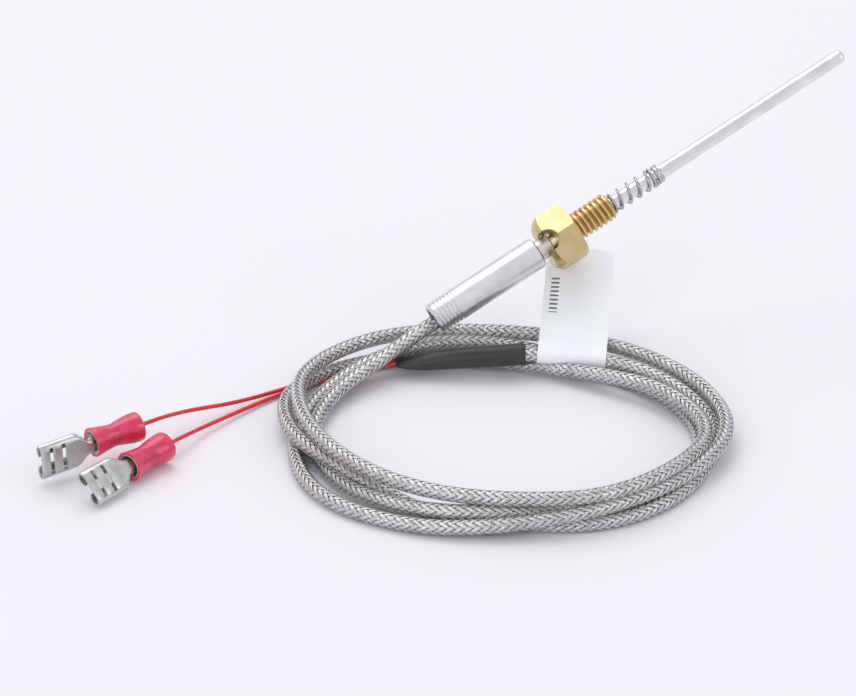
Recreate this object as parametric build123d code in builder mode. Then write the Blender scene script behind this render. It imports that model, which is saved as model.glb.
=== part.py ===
from build123d import *
import math
import os

# ---------------------------------------------------------------------------
# Spring-loaded thermocouple probe with a sliding threaded bushing, a braided
# lead lying in a loose coil, and two insulated receptacle terminals.
# Units are millimetres. The origin is the middle of the bushing's seating
# shoulder, +Z is up, and +X is the way the probe points, seen from above.
# ---------------------------------------------------------------------------

# the probe's lie over the table
PROBE_PITCH = 25.0  # degrees above the horizontal
FLOOR_Z = -26.25  # the table top, below the shoulder's middle

# stations along the probe axis, measured from the shoulder towards the tip
SLEEVE_REAR = -36.55
SLEEVE_LENGTH = 27.2
SLEEVE_FRONT = SLEEVE_REAR + SLEEVE_LENGTH
NOSE_FRONT = -6.0
SLOT_FLOOR = -4.55
HEX_REAR = -7.75
THREAD_LENGTH = 9.6
SPRING_LENGTH = 11.9
COLLAR_START = THREAD_LENGTH + SPRING_LENGTH
COLLAR_LENGTH = 1.5
TIP = 71.55

# sheath and what it holds
SHEATH_OD = 3.175
SHEATH_ID = 2.30
SHEATH_REAR = -19.8
TIP_WALL = 1.9
TIP_ROUNDING = 1.25
INSULATOR_OD = 2.24
INSULATOR_REAR = -17.8
WIRE_BORE = 0.56
WIRE_PITCH = 1.0
THERMOELEMENT_D = 0.5
JUNCTION_D = 1.6
JUNCTION_GAP = 0.1  # between the junction and the tip plug
WELD_OVERLAP = 0.05
FIT_GAP = 0.0125  # radial gap of a brazed or crimped sleeve on the sheath

# transition sleeve
SLEEVE_OD = 7.1
SLEEVE_BORE = 5.0
SLEEVE_BORE_END = -12.8
SLEEVE_CHAMFER = 0.35
NOSE_OD = 4.7
NOSE_CHAMFER = 0.3
CABLE_SOCKET = 5.0  # how far the braided cable enters the sleeve
EXIT_DROP = 0.75  # how far below the sleeve's middle the cable leaves it
POTTING_REAR = SLEEVE_REAR + CABLE_SOCKET
SPLICE_OD = 1.5
SPLICE_BORE = 0.98
SPLICE_SHIFT = 0.4  # how much further apart the splices lie than the thin wires
SPLICE_GRIP = 1.5  # how far a thin wire enters its splice
SPLICE_SOCKET = 2.0  # how far a conductor enters its splice
END_GAP = 0.05
SPLICE_REAR = -28.3
SPLICE_FRONT = -23.3
CONDUCTOR_D = 0.9

# bushing
HEX_ACROSS_FLATS = 12.0
HEX_TURN = 16.9  # degrees, a corner's angle about the axis from -Y
SLOT_WIDTH = 5.0  # its floor is a half round of this diameter
SLOT_TURN = HEX_TURN - 60.0  # the slot crosses the next two corners
REAR_CUT_RADIAL = 2.0
REAR_CUT_AXIAL = 1.75
FRONT_CUT_RADIAL = 0.6
FRONT_CUT_AXIAL = 0.4
CUT_MARGIN = 1.0
SHANK_OVERLAP = 0.5
BUSHING_BORE = 3.30
THREAD_OD = 6.35
THREAD_CHAMFER = 0.6

# spring and stop collar
SPRING_WIRE = 0.6
SPRING_MEAN_D = 4.0
SPRING_PITCH = 1.76
COLLAR_OD = 4.35
COLLAR_ROUNDING = 0.3

# coil, in the table's own directions: x along its long axis, y across it
COIL_CENTRE = (-34.79, -42.87)
COIL_TURN = -23.4  # degrees from +X to the coil's long axis
COIL_HEIGHT = 7.0
COIL_OUTER = (48.3, 47.3, 46.8, 46.6, 50.0, 51.2, 48.0, 46.3, 40.8, 37.6, 40.8, 45.6)
COIL_INNER = (39.0, 36.0, 32.0, 34.0, 38.0, 38.6, 35.0, 33.5, 31.8, 32.2, 33.6, 35.2)
COIL_TOP_CHAMFER = 1.6
COIL_FOOT_CHAMFER = 1.0
CABLE_D = 3.2
STRAIGHT_EXIT = 4.0  # the cable runs straight this far out of the sleeve
LARGEST_BEND = 400.0

# heat-shrink, label and leads
SHRINK_OD = 4.9
SHRINK_TIP_D = 2.4
SHRINK_FULL_SHARE = 0.62  # the share of the heat-shrink at its full diameter
SHRINK_TAPER_SHARE = 0.85
SHRINK_TAPER_DROP = 0.6
LABEL_WIDTH = 14.8
LABEL_REACH = 29.0
LABEL_LEAN = 28.0  # degrees, the flag above the horizontal
LABEL_SKIN = 0.15
LABEL_CLEARANCE = 0.2
LABEL_SHIFT = 0.7  # the label's middle, along the strand from the route's nearest point
LEAD_D = 0.9
LEAD_GAP = 0.2  # between the two leads where they leave the heat-shrink

# receptacle terminals, each measured from its wire end
TAB_BOX_WIDTH = 7.8
TAB_BOX_LENGTH = 8.2
TAB_METAL = 0.42
TAB_WIDTH = 6.4
TAB_THICKNESS = 0.85
ROLL_D = 2.3
NECK_LENGTH = 4.4
NECK_WIDTH = 3.0
NECK_ROOT = 0.6  # how far the neck reaches back over the barrel
SHOULDER_START = 0.8  # from the barrel's end to where the neck widens
NECK_OVERLAP = 0.2
BARREL_OD = 3.4
BARREL_BORE = 2.2
BARREL_START = 2.8
BARREL_END = 12.2
GRIP_LENGTH = 11.4
GRIP_OD = 6.4
GRIP_WAIST = 5.4
GRIP_FLARE_END = 2.6
WAIST_START = 5.4
WAIST_END = 8.0
GRIP_BORE = 4.6
LINER_OD = 4.5
LINER_BORE = 3.6
LINER_START = 0.8
LINER_INSET = 0.2

os.makedirs("parts", exist_ok=True)

pitch = math.radians(PROBE_PITCH)
AXIS = Vector(math.cos(pitch), 0, math.sin(pitch))
across = Vector(0, -1, 0)


def at(station):
    """The plane square to the probe axis at a station along it."""
    return Plane(origin=AXIS * station, x_dir=across, z_dir=AXIS)


turn = math.radians(COIL_TURN)
LONG = Vector(math.cos(turn), math.sin(turn), 0)
DEEP = Vector(-math.sin(turn), math.cos(turn), 0)
table = Plane(origin=(COIL_CENTRE[0], COIL_CENTRE[1], FLOOR_Z), x_dir=LONG, z_dir=(0, 0, 1))


def on_table(x, y, z):
    """A point given by the coil's long axis, its short axis and the height over the table."""
    return table.origin + LONG * x + DEEP * y + Vector(0, 0, z)


# the profile plane holds the probe axis: its x runs along the axis, its y square to it
profile = Plane(origin=(0, 0, 0), x_dir=AXIS, z_dir=across)
probe_axis = Axis((0, 0, 0), AXIS)


def save(piece, name):
    """Label a finished piece and write it to its own file."""
    piece.label = name
    export_step(piece, f"parts/{name}.step")


# --- sheath, tip and the thermocouple inside it -----------------------------
with BuildPart() as probe_sheath:
    with BuildSketch(at(SHEATH_REAR)):
        Circle(SHEATH_OD / 2)
        Circle(SHEATH_ID / 2, mode=Mode.SUBTRACT)
    extrude(amount=TIP - TIP_WALL - SHEATH_REAR)
save(probe_sheath.part, "probe_sheath")

with BuildPart() as tip_plug:
    with BuildSketch(at(TIP - TIP_WALL)):
        Circle(SHEATH_OD / 2)
    extrude(amount=TIP_WALL)
    fillet(tip_plug.faces().sort_by(probe_axis)[-1].edges(), TIP_ROUNDING)
save(tip_plug.part, "tip_plug")

junction_station = TIP - TIP_WALL - JUNCTION_D / 2 - JUNCTION_GAP
insulator_front = junction_station - JUNCTION_D
with BuildPart() as sheath_insulator:
    with BuildSketch(at(INSULATOR_REAR)):
        Circle(INSULATOR_OD / 2)
        with Locations((0, WIRE_PITCH / 2), (0, -WIRE_PITCH / 2)):
            Circle(WIRE_BORE / 2, mode=Mode.SUBTRACT)
    extrude(amount=insulator_front - INSULATOR_REAR)
save(sheath_insulator.part, "sheath_insulator")

thermoelement_rear = SPLICE_FRONT - SPLICE_GRIP
for name, side in (("first_thermoelement", 1), ("second_thermoelement", -1)):
    with BuildPart() as thermoelement:
        with BuildSketch(at(thermoelement_rear)):
            with Locations((0, side * WIRE_PITCH / 2)):
                Circle(THERMOELEMENT_D / 2)
        extrude(amount=junction_station - thermoelement_rear)
        with BuildSketch(at(junction_station)):
            Circle(JUNCTION_D)
        extrude(amount=-JUNCTION_D / 2 - WELD_OVERLAP, mode=Mode.SUBTRACT)
    save(thermoelement.part, name)

with BuildPart() as measuring_junction:
    with Locations(Location(AXIS * junction_station)):
        Sphere(JUNCTION_D / 2)
save(measuring_junction.part, "measuring_junction")

# --- transition sleeve, potting and splices ---------------------------------
with BuildPart() as transition_sleeve:
    with BuildSketch(profile):
        with BuildLine():
            Polyline(
                (SLEEVE_REAR, SLEEVE_BORE / 2),
                (SLEEVE_REAR, SLEEVE_OD / 2 - SLEEVE_CHAMFER),
                (SLEEVE_REAR + SLEEVE_CHAMFER, SLEEVE_OD / 2),
                (SLEEVE_FRONT - SLEEVE_CHAMFER, SLEEVE_OD / 2),
                (SLEEVE_FRONT, SLEEVE_OD / 2 - SLEEVE_CHAMFER),
                (SLEEVE_FRONT, NOSE_OD / 2),
                (NOSE_FRONT - NOSE_CHAMFER, NOSE_OD / 2),
                (NOSE_FRONT, NOSE_OD / 2 - NOSE_CHAMFER),
                (NOSE_FRONT, SHEATH_OD / 2 + FIT_GAP),
                (SLEEVE_BORE_END, SHEATH_OD / 2 + FIT_GAP),
                (SLEEVE_BORE_END, SLEEVE_BORE / 2),
                close=True,
            )
        make_face()
    revolve(axis=probe_axis)
save(transition_sleeve.part, "transition_sleeve")

with BuildPart() as sleeve_potting:
    with BuildSketch(at(POTTING_REAR)):
        Circle(SLEEVE_BORE / 2 - FIT_GAP)
        with Locations((0, WIRE_PITCH / 2 + SPLICE_SHIFT), (0, -WIRE_PITCH / 2 - SPLICE_SHIFT)):
            Circle(SPLICE_OD / 2 + FIT_GAP, mode=Mode.SUBTRACT)
    extrude(amount=SPLICE_FRONT - POTTING_REAR)
    with BuildSketch(at(SPLICE_FRONT)):
        Circle(SLEEVE_BORE / 2 - FIT_GAP)
        with Locations((0, WIRE_PITCH / 2), (0, -WIRE_PITCH / 2)):
            Circle(THERMOELEMENT_D / 2 + FIT_GAP, mode=Mode.SUBTRACT)
    extrude(amount=SHEATH_REAR - SPLICE_FRONT)
    with BuildSketch(at(SHEATH_REAR)):
        Circle(SLEEVE_BORE / 2 - FIT_GAP)
        Circle(SHEATH_OD / 2 + FIT_GAP, mode=Mode.SUBTRACT)
    extrude(amount=SLEEVE_BORE_END - SHEATH_REAR)
save(sleeve_potting.part, "sleeve_potting")

for place, side in (("first", 1), ("second", -1)):
    lane = side * (WIRE_PITCH / 2 + SPLICE_SHIFT)
    with BuildPart() as splice:
        with BuildSketch(at(SPLICE_REAR)):
            with Locations((0, lane)):
                Circle(SPLICE_OD / 2)
        extrude(amount=SPLICE_FRONT - SPLICE_REAR)
        with BuildSketch(at(SPLICE_REAR)):
            with Locations((0, lane)):
                Circle(SPLICE_BORE / 2)
        extrude(amount=SPLICE_SOCKET, mode=Mode.SUBTRACT)
        with BuildSketch(at(thermoelement_rear - END_GAP)):
            with Locations((0, side * WIRE_PITCH / 2)):
                Circle(THERMOELEMENT_D / 2 + FIT_GAP)
        extrude(amount=SPLICE_FRONT - thermoelement_rear + 2 * END_GAP, mode=Mode.SUBTRACT)
    save(splice.part, f"{place}_splice")

    with BuildPart() as conductor:
        with BuildSketch(at(POTTING_REAR)):
            with Locations((0, lane)):
                Circle(CONDUCTOR_D / 2)
        extrude(amount=SPLICE_REAR + SPLICE_SOCKET - END_GAP - POTTING_REAR)
    save(conductor.part, f"{place}_conductor")

# --- stop collar, spring and bushing ----------------------------------------
with BuildPart() as spring_collar:
    with BuildSketch(at(COLLAR_START)):
        Circle(COLLAR_OD / 2)
        Circle(SHEATH_OD / 2 + FIT_GAP, mode=Mode.SUBTRACT)
    extrude(amount=COLLAR_LENGTH)
    outer_edges = spring_collar.edges().filter_by(GeomType.CIRCLE).group_by(SortBy.RADIUS)[-1]
    fillet(outer_edges, COLLAR_ROUNDING)
save(spring_collar.part, "spring_collar")

spring_run = SPRING_LENGTH - SPRING_WIRE - 2 * END_GAP
spring_start = AXIS * (THREAD_LENGTH + SPRING_WIRE / 2 + END_GAP)
with BuildPart() as loading_spring:
    with BuildLine():
        coils = Helix(
            SPRING_PITCH,
            spring_run,
            SPRING_MEAN_D / 2,
            center=spring_start,
            direction=AXIS,
            lefthand=True,
        )
    with BuildSketch(Plane(origin=coils @ 0, z_dir=coils % 0)):
        Circle(SPRING_WIRE / 2)
    sweep(is_frenet=True)
save(loading_spring.part, "loading_spring")

hex_radius = HEX_ACROSS_FLATS / math.sqrt(3)
outside = hex_radius + CUT_MARGIN
rear_start = hex_radius - REAR_CUT_RADIAL
rear_depth = REAR_CUT_AXIAL * (outside - rear_start) / REAR_CUT_RADIAL
front_start = hex_radius - FRONT_CUT_RADIAL
front_depth = FRONT_CUT_AXIAL * (outside - front_start) / FRONT_CUT_RADIAL
slot_way = across.rotate(probe_axis, SLOT_TURN)
with BuildPart() as threaded_bushing:
    with BuildSketch(at(HEX_REAR)):
        RegularPolygon(hex_radius, 6, rotation=HEX_TURN)
    extrude(amount=-HEX_REAR)
    with BuildSketch(profile):
        with BuildLine():
            Polyline(
                (HEX_REAR, 0),
                (HEX_REAR, rear_start),
                (HEX_REAR + rear_depth, outside),
                (-front_depth, outside),
                (0, front_start),
                (0, 0),
                close=True,
            )
        make_face()
    revolve(axis=probe_axis, mode=Mode.INTERSECT)
    with BuildSketch(profile):
        with BuildLine():
            Polyline(
                (-SHANK_OVERLAP, 0),
                (-SHANK_OVERLAP, THREAD_OD / 2),
                (THREAD_LENGTH - THREAD_CHAMFER, THREAD_OD / 2),
                (THREAD_LENGTH, THREAD_OD / 2 - THREAD_CHAMFER),
                (THREAD_LENGTH, 0),
                close=True,
            )
        make_face()
    revolve(axis=probe_axis)
    with BuildSketch(Plane(origin=AXIS * (SLOT_FLOOR - SLOT_WIDTH / 2), x_dir=AXIS, z_dir=slot_way)):
        Circle(SLOT_WIDTH / 2)
        with Locations((-outside / 2, 0)):
            Rectangle(outside, SLOT_WIDTH)
    extrude(amount=outside, both=True, mode=Mode.SUBTRACT)
    with BuildSketch(at(HEX_REAR - CUT_MARGIN)):
        Circle(BUSHING_BORE / 2)
    extrude(amount=THREAD_LENGTH - HEX_REAR + 2 * CUT_MARGIN, mode=Mode.SUBTRACT)
save(threaded_bushing.part, "threaded_bushing")

# --- cable: the exit, the coil and the tail ---------------------------------


def corner_radii(points, bend_limit):
    """The radius of each inner corner: 0.45 of its shorter run over the tangent of half its turn."""
    radii = []
    for before, here, after in zip(points, points[1:], points[2:]):
        first = here - before
        second = after - here
        half_turn = math.radians(first.get_angle(second)) / 2
        largest = 0.45 * min(first.length, second.length) / math.tan(half_turn)
        radii.append(min(largest, bend_limit))
    return radii


def tube(points, diameter, name):
    """A round tube along straight runs joined by tangent arcs."""
    radii = corner_radii(points, LARGEST_BEND)
    with BuildPart() as cord:
        with BuildLine():
            route = FilletPolyline(*points, radius=radii)
        with BuildSketch(Plane(origin=route @ 0, z_dir=route % 0)):
            Circle(diameter / 2)
        sweep()
    expected = math.pi * diameter**2 / 4 * route.length
    print(name, "radii", [round(r, 1) for r in radii], "length", round(route.length, 1))
    print(name, "volume over section x length", round(cord.part.volume / expected, 4))
    save(cord.part, name)
    return route


# the cable leaves the sleeve a little below its middle
exit_drop = at(0).y_dir * EXIT_DROP
exit_points = [
    AXIS * POTTING_REAR + exit_drop,
    AXIS * (SLEEVE_REAR - STRAIGHT_EXIT) + exit_drop,
    on_table(-27.6, 31.0, 5.0),
    on_table(-35.0, 23.0, 3.4),
    on_table(-39.5, 14.0, 2.4),
]
tube(exit_points, CABLE_D, "cable_exit")

stations = len(COIL_OUTER)


def ring_outline(radii):
    """Points of a closed outline round the coil's middle, one every equal step of angle."""
    outline = []
    for step, radius in enumerate(radii):
        angle = 2 * math.pi * step / stations
        outline.append((radius * math.cos(angle), radius * math.sin(angle)))
    return outline


with BuildPart() as cable_coil:
    with BuildSketch(table):
        with BuildLine():
            Spline(*ring_outline(COIL_OUTER), periodic=True)
        make_face()
        with BuildLine():
            Spline(*ring_outline(COIL_INNER), periodic=True)
        make_face(mode=Mode.SUBTRACT)
    extrude(amount=COIL_HEIGHT)
    chamfer(cable_coil.faces().sort_by(Axis.Z)[-1].edges(), COIL_TOP_CHAMFER)
    chamfer(cable_coil.faces().sort_by(Axis.Z)[0].edges(), COIL_FOOT_CHAMFER)
save(cable_coil.part, "cable_coil")

tail_end = on_table(4.3, 34.0, 5.5)
tail_points = [
    on_table(45.2, 3.0, 1.6),
    on_table(43.0, 14.5, 1.7),
    on_table(36.5, 25.0, 2.6),
    on_table(26.5, 31.6, 4.3),
    on_table(15.0, 33.6, 4.9),
    tail_end,
]
tube(tail_points, CABLE_D, "cable_tail")

# --- heat-shrink, label and lead wires --------------------------------------
shrink_tip = on_table(-23.6, 34.2, 3.5)
shrink_axis = (shrink_tip - tail_end).normalized()
shrink_length = (shrink_tip - tail_end).length
shrink_side = shrink_axis.cross(Vector(0, 0, 1)).normalized()
shrink_plane = Plane(origin=tail_end, x_dir=shrink_axis, z_dir=shrink_side)
with BuildPart() as heat_shrink:
    with BuildSketch(shrink_plane):
        with BuildLine():
            Polyline(
                (0, 0),
                (0, SHRINK_OD / 2),
                (shrink_length * SHRINK_FULL_SHARE, SHRINK_OD / 2),
                (shrink_length * SHRINK_TAPER_SHARE, SHRINK_OD / 2 - SHRINK_TAPER_DROP),
                (shrink_length, SHRINK_TIP_D / 2),
                (shrink_length, 0),
                close=True,
            )
        make_face()
    revolve(axis=Axis(tail_end, shrink_axis))
save(heat_shrink.part, "heat_shrink")

# under the label the strand runs from between its third- and second-last points
label_behind = tail_points[3] * 0.4 + tail_points[4] * 0.6
strand = (tail_end - label_behind).normalized()
label_right = tail_points[4] - strand * (LABEL_WIDTH / 2 - LABEL_SHIFT)
lean = math.radians(LABEL_LEAN)
flag_way = DEEP * math.cos(lean) + Vector(0, 0, math.sin(lean))
flag_way = (flag_way - strand * flag_way.dot(strand)).normalized()
wrap_bore = CABLE_D / 2 + LABEL_CLEARANCE
with BuildPart() as wire_label:
    with BuildSketch(Plane(origin=label_right, x_dir=flag_way, z_dir=strand)):
        Circle(wrap_bore + 2 * LABEL_SKIN)
        with Locations((LABEL_REACH / 2, 0)):
            Rectangle(LABEL_REACH, 2 * LABEL_SKIN)
        Circle(wrap_bore, mode=Mode.SUBTRACT)
    extrude(amount=LABEL_WIDTH)
save(wire_label.part, "wire_label")

# --- receptacle terminals and their lead wires ------------------------------
box_start = GRIP_LENGTH + NECK_LENGTH
back_y = -(BARREL_OD - TAB_METAL) / 2
roll_x = (TAB_BOX_WIDTH - ROLL_D) / 2
roll_y = back_y + (ROLL_D - TAB_METAL) / 2
tab_gap_y = back_y + (TAB_METAL + TAB_THICKNESS) / 2


def terminal_plane(wire_end, front_end, back_turn):
    """The plane square to a terminal at its wire end: x across the flat back, z to the front."""
    forward = (front_end - wire_end).normalized()
    upward = (Vector(0, 0, 1) - forward * forward.Z).normalized()
    level = Plane(origin=wire_end, x_dir=upward, z_dir=forward)
    return Plane(level.location * Location((0, 0, 0), (0, 0, back_turn)))


def receptacle(frame, name):
    """The stamped receptacle: a flat back with two rolled edges, a neck and a wire barrel."""
    with BuildPart() as stamping:
        with BuildSketch(frame.offset(box_start)):
            with Locations((roll_x, roll_y), (-roll_x, roll_y)):
                Circle(ROLL_D / 2)
                Circle(ROLL_D / 2 - TAB_METAL, mode=Mode.SUBTRACT)
            with Locations((0, tab_gap_y)):
                Rectangle(TAB_WIDTH, TAB_THICKNESS, mode=Mode.SUBTRACT)
            with Locations((0, back_y)):
                Rectangle(TAB_BOX_WIDTH - ROLL_D, TAB_METAL)
        extrude(amount=TAB_BOX_LENGTH)
        neck_plane = Plane(origin=frame.origin + frame.y_dir * back_y, x_dir=frame.x_dir, z_dir=-frame.y_dir)
        with BuildSketch(neck_plane):
            with BuildLine():
                Polyline(
                    (-NECK_WIDTH / 2, BARREL_END - NECK_ROOT),
                    (-NECK_WIDTH / 2, BARREL_END + SHOULDER_START),
                    (-roll_x, box_start + NECK_OVERLAP),
                    (roll_x, box_start + NECK_OVERLAP),
                    (NECK_WIDTH / 2, BARREL_END + SHOULDER_START),
                    (NECK_WIDTH / 2, BARREL_END - NECK_ROOT),
                    close=True,
                )
            make_face()
        extrude(amount=TAB_METAL / 2, both=True)
        with BuildSketch(frame.offset(BARREL_START)):
            Circle(BARREL_OD / 2)
        extrude(amount=BARREL_END - BARREL_START)
        with BuildSketch(frame.offset(BARREL_START)):
            Circle(BARREL_BORE / 2)
        extrude(amount=BARREL_END - BARREL_START, mode=Mode.SUBTRACT)
    save(stamping.part, name)


def collar_piece(frame, outline, name):
    """A piece turned about a terminal's own axis, from its outline of (distance, radius) points."""
    with BuildPart() as turned:
        with BuildSketch(Plane(origin=frame.origin, x_dir=frame.z_dir, z_dir=frame.x_dir)):
            with BuildLine():
                Polyline(*outline, close=True)
            make_face()
        revolve(axis=Axis(frame.origin, frame.z_dir))
    save(turned.part, name)


grip_outline = (
    (0, GRIP_BORE / 2),
    (0, GRIP_OD / 2),
    (GRIP_FLARE_END, GRIP_OD / 2),
    (WAIST_START, GRIP_WAIST / 2),
    (WAIST_END, GRIP_WAIST / 2),
    (GRIP_LENGTH, GRIP_OD / 2),
    (GRIP_LENGTH, GRIP_BORE / 2),
)
liner_outline = (
    (LINER_START, LINER_BORE / 2),
    (LINER_START, LINER_OD / 2),
    (GRIP_LENGTH - LINER_INSET, LINER_OD / 2),
    (GRIP_LENGTH - LINER_INSET, LINER_BORE / 2),
)
lead_split = shrink_side * (LEAD_D + LEAD_GAP) / 2
leads = {
    "first": (
        terminal_plane(on_table(-77.0, -0.7, 6.4), on_table(-97.0, -14.3, 5.2), 0),
        [
            shrink_tip + lead_split,
            on_table(-33.5, 33.0, 1.6),
            on_table(-41.9, 31.5, 0.6),
            on_table(-48.2, 26.6, 0.6),
            on_table(-57.8, 18.7, 1.6),
            on_table(-67.0, 12.8, 3.0),
            on_table(-72.2, 5.2, 5.4),
            on_table(-75.35, 0.42, 6.5),
            on_table(-80.55, -3.12, 6.19),
        ],
    ),
    "second": (
        terminal_plane(on_table(-71.35, -4.5, 3.7), on_table(-86.0, -23.0, 3.45), 42),
        [
            shrink_tip - lead_split,
            on_table(-33.5, 31.7, 1.6),
            on_table(-41.9, 29.4, 0.6),
            on_table(-48.2, 24.8, 0.6),
            on_table(-56.6, 16.2, 1.0),
            on_table(-64.4, 7.0, 1.8),
            on_table(-69.6, -1.9, 3.5),
            on_table(-73.3, -6.9, 3.67),
        ],
    ),
}
for place, (frame, route) in leads.items():
    receptacle(frame, f"{place}_receptacle")
    collar_piece(frame, liner_outline, f"{place}_support_sleeve")
    collar_piece(frame, grip_outline, f"{place}_insulation_grip")
    tube(route, LEAD_D, f"{place}_lead_wire")
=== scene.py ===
"""Visual model of a spring-loaded thermocouple probe with a braided lead.

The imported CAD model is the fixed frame. Each sub-assembly is a class that
builds its own meshes, dresses them and fixes them to a CAD body.
Lengths in the classes are in millimetres, and finished meshes are in metres.
"""

import logging
import math
from dataclasses import dataclass, field
from enum import Enum
from typing import Callable, Optional, Sequence

import bpy
import numpy as np
from mathutils import Matrix, Vector


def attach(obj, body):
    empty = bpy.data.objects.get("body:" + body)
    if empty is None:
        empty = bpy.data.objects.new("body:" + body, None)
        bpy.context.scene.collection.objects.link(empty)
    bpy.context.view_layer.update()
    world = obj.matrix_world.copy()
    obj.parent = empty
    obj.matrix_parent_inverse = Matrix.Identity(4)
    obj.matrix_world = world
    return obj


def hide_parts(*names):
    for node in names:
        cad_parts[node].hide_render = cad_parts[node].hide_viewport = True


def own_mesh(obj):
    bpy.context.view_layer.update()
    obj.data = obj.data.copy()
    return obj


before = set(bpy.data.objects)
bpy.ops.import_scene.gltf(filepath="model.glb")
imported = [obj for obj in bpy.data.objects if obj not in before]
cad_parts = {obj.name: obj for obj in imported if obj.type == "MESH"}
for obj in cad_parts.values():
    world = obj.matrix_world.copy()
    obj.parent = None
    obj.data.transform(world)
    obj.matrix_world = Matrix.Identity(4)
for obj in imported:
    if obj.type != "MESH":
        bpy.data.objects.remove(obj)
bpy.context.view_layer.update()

LOG = logging.getLogger("thermocouple")
MM = 0.001
TO_METRES = Matrix.Scale(MM, 4)
SMOOTH_ANGLE = math.radians(35.0)

Point = tuple[float, float, float]
Outline = Sequence[tuple[float, float]]
Ring = tuple[float, float, float, float, float]
Directions = tuple[np.ndarray, np.ndarray, np.ndarray]


class Body(Enum):
    """The CAD bodies that pieces ride on."""

    PROBE = "probe"
    SPRING = "spring"
    BUSHING = "bushing"


class Axis(Enum):
    """The direction that a finish's fine lines run in, on a turned piece."""

    ALONG = (1.0, 1.0, 0.03)
    AROUND = (0.03, 0.03, 1.0)
    NONE = (1.0, 1.0, 1.0)


# --- places ------------------------------------------------------------------


@dataclass(frozen=True)
class ProbeAxis:
    """The probe's own axis, which rises from the table."""

    pitch: float = math.radians(25.0)

    @property
    def direction(self) -> Vector:
        """The way the probe points."""
        return Vector((math.cos(self.pitch), 0.0, math.sin(self.pitch)))

    @property
    def below(self) -> Vector:
        """The direction square to the axis that points at the table."""
        return Vector((math.sin(self.pitch), 0.0, -math.cos(self.pitch)))

    def point(self, station: float, drop: float = 0.0) -> Vector:
        """A point in millimetres at a station along the axis, dropped below it."""
        return self.direction * station + self.below * drop

    def matrix(self, station: float = 0.0) -> Matrix:
        """The place of a turned piece: its z along the axis, its x towards -Y.

        Args:
            station: where the piece's own origin lies along the axis, in mm.
        Returns:
            A matrix from the piece's millimetres to the row frame's metres.
        """
        columns = (Vector((0.0, -1.0, 0.0)), self.below, self.direction)
        turned = Matrix([list(c) for c in columns]).transposed().to_4x4()
        return TO_METRES @ Matrix.Translation(self.point(station)) @ turned


@dataclass(frozen=True)
class CoilTable:
    """The table under the coil, in the coil's own long and short directions."""

    centre: Point = (-34.79, -42.87, -26.25)
    turn: float = math.radians(-23.4)

    @property
    def long(self) -> Vector:
        """The coil's long direction."""
        return Vector((math.cos(self.turn), math.sin(self.turn), 0.0))

    @property
    def deep(self) -> Vector:
        """The coil's short direction, away from the viewer."""
        return Vector((-math.sin(self.turn), math.cos(self.turn), 0.0))

    def point(self, x: float, y: float, z: float) -> Vector:
        """A point in millimetres from the coil's middle, z above the table."""
        return Vector(self.centre) + self.long * x + self.deep * y + Vector((0.0, 0.0, z))


PROBE = ProbeAxis()
TABLE = CoilTable()


# --- the workshop: modelling steps that every piece uses -----------------------


def deselect() -> None:
    """Leave edit mode and deselect every object."""
    if bpy.context.mode != "OBJECT":
        bpy.ops.object.mode_set(mode="OBJECT")
    bpy.ops.object.select_all(action="DESELECT")


def activate(piece: bpy.types.Object) -> None:
    """Make one object the only selected one."""
    deselect()
    piece.select_set(True)
    bpy.context.view_layer.objects.active = piece


def choose_vertices(piece: bpy.types.Object, test: Callable[[Vector], bool]) -> None:
    """Select a piece's vertices by their place and open it in edit mode.

    Args:
        piece: a mesh object.
        test: says of a vertex's place whether it is chosen.
    """
    activate(piece)
    mesh = piece.data
    for face in mesh.polygons:
        face.select = False
    for edge in mesh.edges:
        edge.select = False
    for vertex in mesh.vertices:
        vertex.select = test(vertex.co)
    bpy.ops.object.mode_set(mode="EDIT")
    bpy.ops.mesh.select_mode(type="VERT")


def drawn_outline(name: str, points: Sequence[Point]) -> bpy.types.Object:
    """Draw an open chain of edges, one extruded vertex after another.

    Args:
        name: the new object's name.
        points: the places of the chain's vertices.
    Returns:
        The chain as a mesh object.
    """
    deselect()
    bpy.ops.mesh.primitive_plane_add(size=1.0, location=(0.0, 0.0, 0.0))
    chain = bpy.context.object
    chain.name = name
    choose_vertices(chain, lambda place: place.x > 0.0 or place.y > 0.0)
    bpy.ops.mesh.delete(type="VERT")
    bpy.ops.object.mode_set(mode="OBJECT")
    chain.data.vertices[0].co = points[0]
    bpy.ops.object.mode_set(mode="EDIT")
    bpy.ops.mesh.select_all(action="SELECT")
    for here, there in zip(points, points[1:]):
        step = Vector(there) - Vector(here)
        bpy.ops.mesh.extrude_vertices_move(TRANSFORM_OT_translate={"value": step})
    bpy.ops.object.mode_set(mode="OBJECT")
    return chain


def close_up(piece: bpy.types.Object, gap: float = 0.0005) -> None:
    """Merge a piece's doubled vertices and turn its faces outwards."""
    activate(piece)
    bpy.ops.object.mode_set(mode="EDIT")
    bpy.ops.mesh.select_all(action="SELECT")
    bpy.ops.mesh.remove_doubles(threshold=gap)
    bpy.ops.mesh.normals_make_consistent(inside=False)
    bpy.ops.object.mode_set(mode="OBJECT")


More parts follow.
